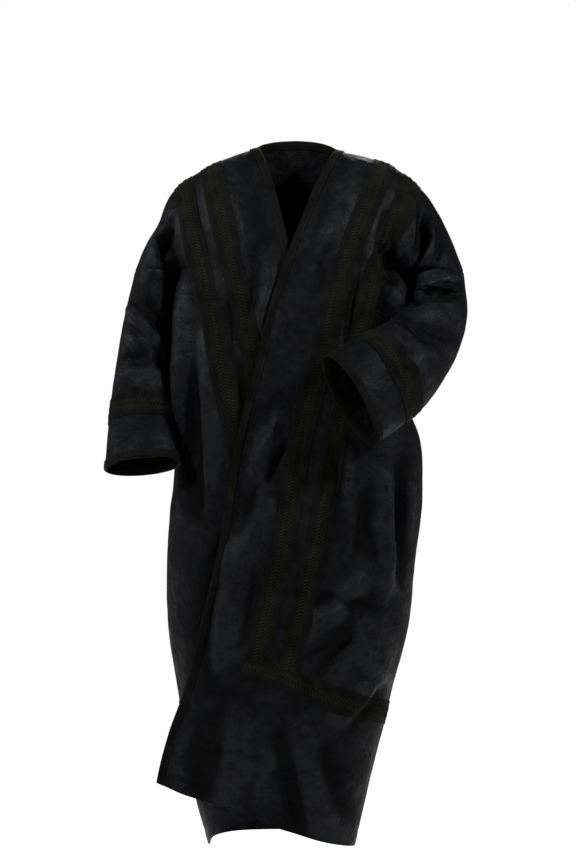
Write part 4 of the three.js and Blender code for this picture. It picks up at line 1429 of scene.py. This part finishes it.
def woven(name, dark, light, ribs):
    """Braid and binding: fine ribs across the strip, crossed by finer yarns."""
    material, shader, place, uv = new_material(name, (0.9, 0.9, 0.8), 0.06)
    u = uv.node("ShaderNodeSeparateXYZ", Vector=uv)
    v = Out(material.node_tree, u.socket.node.outputs[1])
    rib = (v * ribs).sin()
    yarn = ((u + v) * YARN).sin() * ((u - v) * YARN).sin()
    wear_and_fold_shading = place.noise(26, 5.0, 0.62)
    tone = rib.ramp(-1, 1) * 0.35 + yarn.ramp(-1, 1) * 0.2 + wear_and_fold_shading.ramp(0.38, 0.66) * 0.45
    colour = tone.mix(dark, light)
    rough = wear_and_fold_shading.ramp(0.3, 0.7, 0.85, 0.68)
    return finish_material(material, shader, colour, rough,
                           [(rib, 0.0006, 0.5), (yarn, 0.0003, 0.5)])


DARK = (0.0008, 0.0008, 0.0007)
materials = {
    "cloth": cloth,
    "braid": woven("braid_weave", DARK, (0.0088, 0.0088, 0.0077), 2600.0),
    "stroke": woven("braid_stroke", (0.0060, 0.0060, 0.0053), (0.0280, 0.0280, 0.0250), 5200.0),
    "binding": woven("binding_rib", DARK, (0.0078, 0.0078, 0.0069), 3000.0),
}
print("materials:", sorted(materials))

# %% [markdown]
# ## Finishes and beads
#
# Each piece takes its finish, then its beads. The chevrons stand close together, so that they read
# as one woven pattern, and the stitches are as long as a hand sews them. The finish comes first,
# because the beads bring their own with them.

# %% Dress every piece
CHEVRON_PITCH, STITCH_PITCH = 6.4, 5.5
for piece in panels.values():
    piece.data.materials.append(materials["cloth"])
for piece, line, normal, closed in paths.values():
    piece.data.materials.append(materials["braid"])
    dress(piece, line, normal, closed, "chevron", CHEVRON_PITCH, materials["stroke"])
for piece, line, normal, closed in trims.values():
    piece.data.materials.append(materials["binding"])
    dress(piece, line, normal, closed, "stitch", STITCH_PITCH, materials["stroke"])
for obj in shape_objects.values():
    bpy.data.objects.remove(obj)
everything = {**panels, **{key: made[0] for key, made in {**paths, **trims}.items()}}
print("triangles:", {name: sum(len(face.vertices) - 2 for face in piece.data.polygons)
                     for name, piece in everything.items()})

# %% [markdown]
# ## Putting it together
#
# A worn cloak has no joints, so every piece rides on the one body. Each stands for its solid, and
# has one of three finishes: the cloth, the braid and the binding. One loop over all pieces keeps
# any of them from being forgotten.

# %% Bodies and solids
for name, piece in everything.items():
    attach(piece, "root")
    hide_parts(name)
    "cloth" if name in panels else "binding" if "binding" in name else "braid"
print("pieces:", len(everything))

# %% [markdown]
# ## The cut
#
# Each panel is listed as a sheet: how wide and how long it is when laid flat, and the area of its
# cut, in metres. The lengths are measured along the cloth. What is sewn on a panel is printed with
# it: the back's neck tape, a front's braids and binding, a sleeve's braid and cuff.

# %% Sheets
CUTS = {
    "back": (0.92, 1.36, 1.05), "left_front": (0.62, 1.40, 0.74), "right_front": (0.60, 1.40, 0.66),
    "left_sleeve": (0.49, 0.40, 0.19), "right_sleeve": (0.44, 0.39, 0.165),
}
SEWN_ON = {"back": ("neck",), "front": ("inner", "outer", "cross", "front"),
           "sleeve": ("sleeve", "cuff")}
for name, (wide, long, area) in CUTS.items():
    side, kind = name.split("_")[0], name.split("_")[-1]
    mine = [piece for key, piece in everything.items() if key not in panels
            and key.split("_")[0] == side and key.split("_")[1] in SEWN_ON[kind]]
    print(name, "with", [piece.name for piece in mine])

# %% [markdown]
# ## The floor
#
# The cloak hangs over a pale floor, 0.2 m below its hem. A room with walls would hide the cloak
# from behind. So there is only one broad face, and its own glow grows towards the back, until it
# can't be told from the pale air behind it.

# %% A pale floor
FLOOR = -1.54
WIDE, DEEP = 9.0, 4.0
mesh = bpy.data.meshes.new("studio")
mesh.from_pydata([(x, y, FLOOR) for y in (-DEEP, DEEP) for x in (-WIDE, WIDE)], [], [(0, 1, 3, 2)])
studio = bpy.data.objects.new("studio", mesh)
bpy.context.scene.collection.objects.link(studio)
pale = bpy.data.materials.new("pale")
pale.use_nodes = True
shader = pale.node_tree.nodes["Principled BSDF"]
shader.inputs["Base Color"].default_value = (0.62, 0.62, 0.63, 1)
shader.inputs["Roughness"].default_value = 0.9
spot = Out(pale.node_tree, pale.node_tree.nodes.new("ShaderNodeTexCoord").outputs["Object"])
glow = spot.node("ShaderNodeSeparateXYZ", "Y", Vector=spot).ramp(0.1, 0.8)
pale.node_tree.links.new(glow.mix((0.70, 0.70, 0.71), (1, 1, 1)).socket,
                         shader.inputs["Emission Color"])
shader.inputs["Emission Strength"].default_value = 1.0
mesh.materials.append(pale)
print("floor at", FLOOR)

# %% [markdown]
# ## The air
#
# The air is white where it is seen, but it sends only a little light onto the cloak, so the folds
# keep their shadows. One background can't be both, so the Light Path node chooses: rays from the
# camera see the white one, all others the dim one.

# %% White to look at, dim to light with
world = bpy.data.worlds.new("soft")
bpy.context.scene.world = world
world.use_nodes = True
nodes, links = world.node_tree.nodes, world.node_tree.links
room, seen = nodes["Background"], nodes.new("ShaderNodeBackground")
choose = nodes.new("ShaderNodeMixShader")
for ground, strength in ((room, 0.08), (seen, 1.0)):
    ground.inputs["Color"].default_value = (1, 1, 1, 1)
    ground.inputs["Strength"].default_value = strength
links.new(nodes.new("ShaderNodeLightPath").outputs["Is Camera Ray"], choose.inputs["Fac"])
links.new(room.outputs[0], choose.inputs[1])
links.new(seen.outputs[0], choose.inputs[2])
links.new(choose.outputs[0], nodes["World Output"].inputs["Surface"])
print("air:", [ground.inputs["Strength"].default_value for ground in (room, seen)])

# %% [markdown]
# ## The lamps
#
# Black cloth shows its folds only by light from the side. A broad light from the front would
# flatten them. So two small lamps stand at the left and the right, a weak one rims the right
# sleeve, and one shows the back. They are shaded, so little of their light reaches the floor.

# %% Four shaded lamps
SPREAD = 1.35       # radians


def area_light(name, place, target, size, power):
    """A round shaded lamp that looks at a target."""
    light = bpy.data.lights.new(name, "AREA")
    light.shape, light.size, light.energy = "DISK", size, power
    light.spread = SPREAD
    obj = bpy.data.objects.new(name, light)
    obj.location = place
    obj.rotation_euler = (Vector(target) - Vector(place)).to_track_quat("-Z", "Y").to_euler()
    bpy.context.scene.collection.objects.link(obj)


area_light("key", (-1.9, -1.5, 1.25), (0, 0, 0.05), 0.4, 12)
area_light("side", (2.1, -1.5, 1.0), (0, 0, 0.05), 0.4, 13)
area_light("left_rim", (-2.6, 0.5, 0.6), (0, 0, -0.3), 0.8, 3)
area_light("back", (0.3, 3.0, 1.2), (0, 0, -0.6), 1.4, 9)

# %% [markdown]
# ## The camera
#
# The camera stands four metres in front, level with the bent arm, and looks straight ahead with a
# long lens. From nearer, the bent arm would grow and the hem would bend upwards.

# %% Camera
camera = bpy.data.cameras.new("camera")
camera.lens, camera.sensor_width = 86.8, 36
view = bpy.data.objects.new("camera", camera)
view.location = (-0.004, -4.0, -0.541)
view.rotation_euler = (np.pi / 2, 0, 0)
bpy.context.scene.collection.objects.link(view)
bpy.context.scene.camera = view
bpy.context.scene.view_settings.view_transform = "Standard"
print("camera:", tuple(round(c, 3) for c in view.location), camera.lens)

# %% [markdown]
# ## The end
